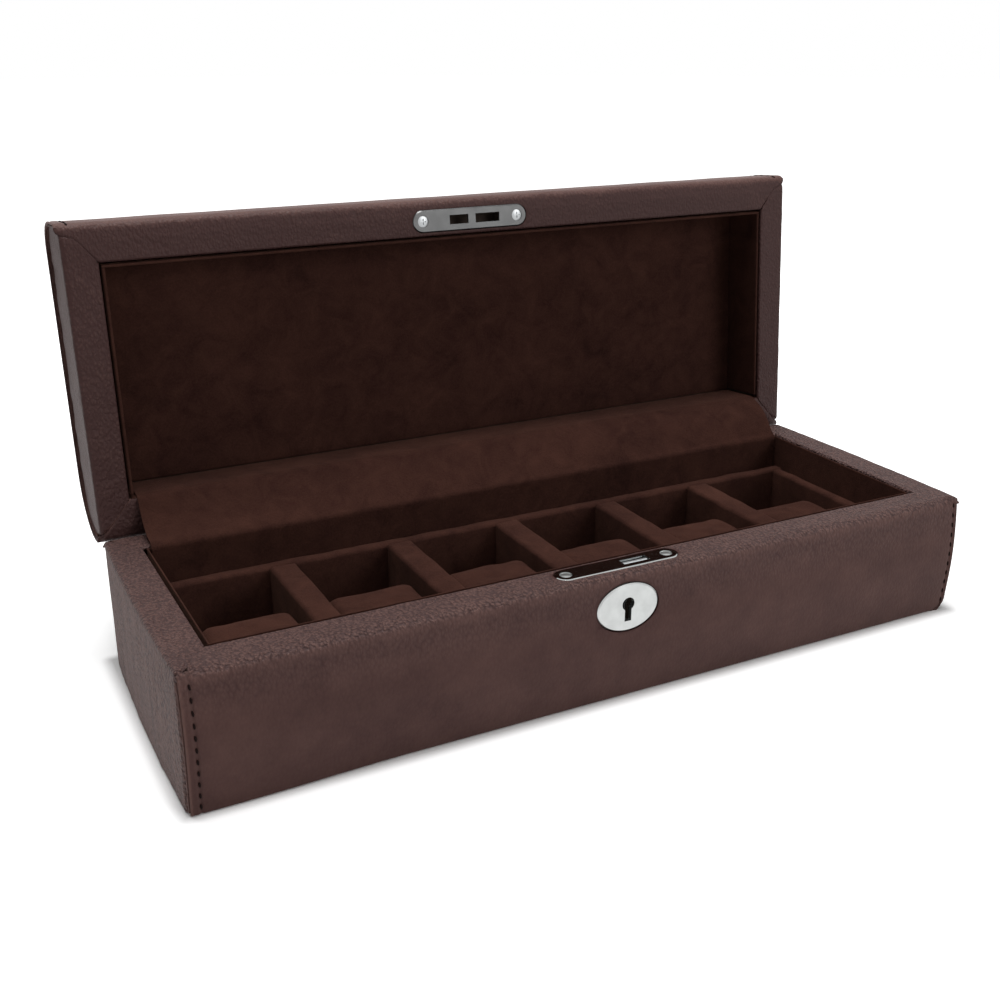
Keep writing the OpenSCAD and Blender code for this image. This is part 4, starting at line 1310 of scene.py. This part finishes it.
def make_lid_panel():
    """The padded suede panel in the top of the lid, crowned over its wadding and dipping at its edges."""
    side, front, rear = LINING_X - PANEL_GAP, -LINING_Y + PANEL_GAP, LINING_Y + PANEL_UNDER_FLAP
    panel = block("lid_panel_suede", (-side, front, LID_FLOOR), (side, rear, LID_PANEL_Z))
    round_edges(panel, lambda c, d: abs(c[2] - LID_FLOOR) < 0.01, PANEL_EDGE, 4)
    pick(panel, "faces", lambda c, n: abs(n[2]) > 0.9 and c[2] < LID_FLOOR + 0.1)
    bpy.ops.mesh.subdivide(number_cuts=40)
    bpy.ops.object.mode_set(mode="OBJECT")
    p = points_of(panel)
    edge = np.minimum(LINING_X - np.abs(p[:, 0]), LINING_Y - np.abs(p[:, 1]))
    lower = p[:, 2] < LID_FLOOR + 0.05
    crown = PANEL_CROWN * ramp(edge, 1, 22) + 0.22 * soft_noise(p[:, 0], p[:, 1], 51, 70) * ramp(edge, 1, 10)
    crown += 0.08 * soft_noise(p[:, 0], p[:, 1], 52, 16) * ramp(edge, 1, 6)
    p[:, 2] -= np.where(lower, crown, 0)
    move_points(panel, p)
    smooth(panel, 60)
    swing_open(panel)
    give(panel, "lid", material("brown_suede"), ["lid_panel"])


class Tray(bpy.types.Operator):
    """Makes the suede tray: floor, rails and the dividers between the slots"""

    bl_idname = "watch_box.tray"
    bl_label = "Tray"

    def execute(self, context):
        suede = material("brown_suede")
        edge = sizes().rail_edge / MM
        names = ["tray_front_rail", "tray_rear_rail"] + [f"tray_divider_{n}" for n in range(1, 6)]
        for seed, name in enumerate(names):
            low, high = box_of(name)
            rail = suede_strip(f"{name}_suede", low, high, edge)
            soften(rail, 60 + seed, 0.35, 16)
            give(rail, "base", suede, [name])
        low, high = box_of("tray_end_rails")
        for side, x0, x1 in (("left", low[0], low[0] + END_RAIL_T), ("right", high[0] - END_RAIL_T, high[0])):
            rail = suede_strip(f"tray_{side}_rail_suede", (x0, low[1], low[2]), (x1, high[1], high[2]), edge)
            soften(rail, 70 + int(x0 > 0), 0.3, 14)
            give(rail, "base", suede, ["tray_end_rails"] if side == "left" else [])
        low, high = box_of("tray_floor")
        floor = block("tray_floor_suede", low, high)
        round_edges(floor, lambda c, d: c[2] > (low[2] + high[2]) / 2, 0.4, 2)
        smooth(floor, 40)
        give(floor, "base", suede, ["tray_floor"])
        return {"FINISHED"}


class Cushions(bpy.types.Operator):
    """Fills the six slots with stuffed suede cushions"""

    bl_idname = "watch_box.cushions"
    bl_label = "Cushions"

    def execute(self, context):
        make_cushions()
        return {"FINISHED"}


class Flap(bpy.types.Operator):
    """Hangs the suede flap over the hinge line"""

    bl_idname = "watch_box.flap"
    bl_label = "Flap"

    def execute(self, context):
        flap, length = make_flap()
        flap.data.materials.clear()
        flap.data.materials.append(material("brown_suede"))
        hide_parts("hinge_flap")
        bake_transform(flap)
        return {"FINISHED"}


class Fittings(bpy.types.Operator):
    """Finishes the metal fittings and the boards that the frame brings"""

    bl_idname = "watch_box.fittings"
    bl_label = "Fittings and boards"

    def execute(self, context):
        finishes = {
            "polished_nickel": ["lock_plate"],
            "satin_nickel": ["lock_screws", "key_plate", "hinge_base_leaves", "hinge_lid_leaves"],
            "nickel_painted_dark_reflection": ["strike_plate"],
            "steel": [
                "strike_screws", "lock_case", "lock_bolt",
                "hinge_pins", "hinge_base_screws", "hinge_lid_screws",
            ],
            "fibreboard": [
                "base_floor_board", "base_front_board", "base_rear_board", "base_end_boards",
                "lid_top_board", "lid_front_board", "lid_rear_board", "lid_end_boards",
            ],
        }
        for finish, nodes in finishes.items():
            for name in nodes:
                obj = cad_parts[name]
                obj.data.materials.clear()
                obj.data.materials.append(material(finish))
        return {"FINISHED"}


# the studio, in metres: the foot of the box on the floor, and each lamp's place, aim, size and power
FOOT = (0.1685, 0.0605, 0.0)
LAMPS = (
    ("key_lamp", (-0.1, 0.22, 1.25), (0, 0, 0.04), 0.6, 10),
    ("top_lamp", (0.0, -0.3, 2.0), (0, 0, 0.05), 0.9, 14),
    ("front_lamp", (1.1, -1.9, 0.9), (0, 0, 0.05), 1.0, 16),
)
CAMERA_SPOT = (-0.2354, -0.4115, 0.2419)
CAMERA_TURN, CAMERA_DOWN = math.radians(27.37), math.radians(20.96)
CAMERA_LENS = 44.82


class Stage(bpy.types.Operator):
    """Sets up the studio: floor, lamps, surroundings and camera"""

    bl_idname = "watch_box.stage"
    bl_label = "Studio"

    def execute(self, context):
        make_floor()
        make_surroundings()
        for lamp in LAMPS:
            make_lamp(*lamp)
        make_camera()
        context.scene.view_settings.view_transform = "Standard"
        return {"FINISHED"}


def make_floor():
    """A wide pale floor, white farther out; beside the foot of the box its glow to the camera fades out, a
    painted contact shadow over the cast one.
    """
    rest_tools()
    bpy.ops.mesh.primitive_circle_add(vertices=96, radius=6, fill_type="NGON", location=(0, 0, -0.0002))
    floor = settle(bpy.context.object, "studio_floor")
    made = bpy.data.materials.new("studio_floor")
    made.use_nodes = True
    tree = made.node_tree
    surface = tree.nodes["Principled BSDF"]
    surface.inputs["Base Color"].default_value = bpy.context.scene.watch_box_colours.floor
    surface.inputs["Roughness"].default_value = 0.9
    surface.inputs["Specular IOR Level"].default_value = 0.0
    path = add(tree, "LightPath")
    place = add(tree, "TexCoord").outputs["Object"]
    # how far a place lies outside the foot of the box
    mirrored_place = add(tree, "VectorMath", {0: place}, operation="ABSOLUTE")
    beside = add(tree, "VectorMath", {0: mirrored_place.outputs[0]}, operation="SUBTRACT")
    beside.inputs[1].default_value = FOOT
    outside = add(tree, "VectorMath", {0: beside.outputs[0]}, operation="MAXIMUM")
    away = add(tree, "VectorMath", {0: outside.outputs[0]}, operation="LENGTH").outputs["Value"]
    # painted shadow: the glow seen by the camera falls to nothing within 5 mm of the foot of the box
    painted_contact_shadow = add(tree, "MapRange", {"Value": away}, From_Max=0.005, To_Max=0.45)
    far = add(tree, "MapRange", {"Value": away}, From_Max=0.4, To_Max=0.55)
    seen = scaled(tree, path.outputs["Is Camera Ray"], summed(tree, painted_contact_shadow.outputs[0], far.outputs[0]))
    mirrored = scaled(tree, path.outputs["Is Glossy Ray"], 0.5)
    glow = add(tree, "Emission", {"Strength": summed(tree, seen, mirrored)})
    both = add(tree, "AddShader", {0: surface.outputs[0], 1: glow.outputs[0]})
    tree.links.new(both.outputs[0], tree.nodes["Material Output"].inputs["Surface"])
    floor.data.materials.append(made)


def make_surroundings():
    """Even white surroundings: plain soft light on the box, pure white where they are seen or mirrored."""
    world = bpy.data.worlds.new("studio")
    bpy.context.scene.world = world
    world.use_nodes = True
    tree = world.node_tree
    path = add(tree, "LightPath")
    rays = {0: path.outputs["Is Camera Ray"], 1: path.outputs["Is Glossy Ray"]}
    seen = add(tree, "Math", rays, operation="MAXIMUM")
    tree.links.new(scaled(tree, seen.outputs[0], 0.96, 0.04), tree.nodes["Background"].inputs["Strength"])
    tree.nodes["Background"].inputs["Color"].default_value = (1, 1, 1, 1)


def make_lamp(name, spot, aim, size, power):
    """A square soft box that looks at a point."""
    rest_tools()
    bpy.ops.object.light_add(type="AREA", location=spot)
    lamp = bpy.context.object
    lamp.name = name
    lamp.data.size = size
    lamp.data.energy = power
    lamp.rotation_euler = (Vector(aim) - Vector(spot)).to_track_quat("-Z", "Y").to_euler()


def make_camera():
    """The camera: a little above and to the left of the front."""
    rest_tools()
    level = math.cos(CAMERA_DOWN)
    look = Vector((math.sin(CAMERA_TURN) * level, math.cos(CAMERA_TURN) * level, -math.sin(CAMERA_DOWN)))
    aim = look.to_track_quat("-Z", "Y").to_euler()
    bpy.ops.object.camera_add(location=CAMERA_SPOT, rotation=aim)
    camera = bpy.context.object
    camera.data.lens = CAMERA_LENS
    camera.data.sensor_width = 36
    camera.data.clip_start, camera.data.clip_end = 0.01, 50
    bpy.context.scene.camera = camera


STEPS = (BaseLeather, LidLeather, Linings, Tray, Cushions, Flap, Fittings, Stage)


class WatchBoxPanel(bpy.types.Panel):
    """Sizes, colours and building steps of the watch box"""

    bl_idname = "VIEW3D_PT_watch_box"
    bl_label = "Watch box"
    bl_space_type = "VIEW_3D"
    bl_region_type = "UI"
    bl_category = "Watch Box"

    def draw(self, context):
        for step in STEPS:
            self.layout.operator(step.bl_idname)
        for group in (context.scene.watch_box_sizes, context.scene.watch_box_colours):
            for key in group.bl_rna.properties.keys():
                if key not in ("rna_type", "name"):
                    self.layout.prop(group, key)


CLASSES = (WatchBoxSizes, WatchBoxColours, *STEPS, WatchBoxPanel)


def register():
    for made in CLASSES:
        bpy.utils.register_class(made)
    bpy.types.Scene.watch_box_sizes = bpy.props.PointerProperty(type=WatchBoxSizes)
    bpy.types.Scene.watch_box_colours = bpy.props.PointerProperty(type=WatchBoxColours)


def unregister():
    del bpy.types.Scene.watch_box_colours
    del bpy.types.Scene.watch_box_sizes
    for made in reversed(CLASSES):
        bpy.utils.unregister_class(made)


def main():
    """Builds every piece in order."""
    register()
    bpy.ops.watch_box.base_leather()
    bpy.ops.watch_box.lid_leather()
    bpy.ops.watch_box.linings()
    bpy.ops.watch_box.tray()
    bpy.ops.watch_box.cushions()
    bpy.ops.watch_box.flap()
    bpy.ops.watch_box.fittings()
    bpy.ops.watch_box.stage()


if __name__ == "__main__":
    main()
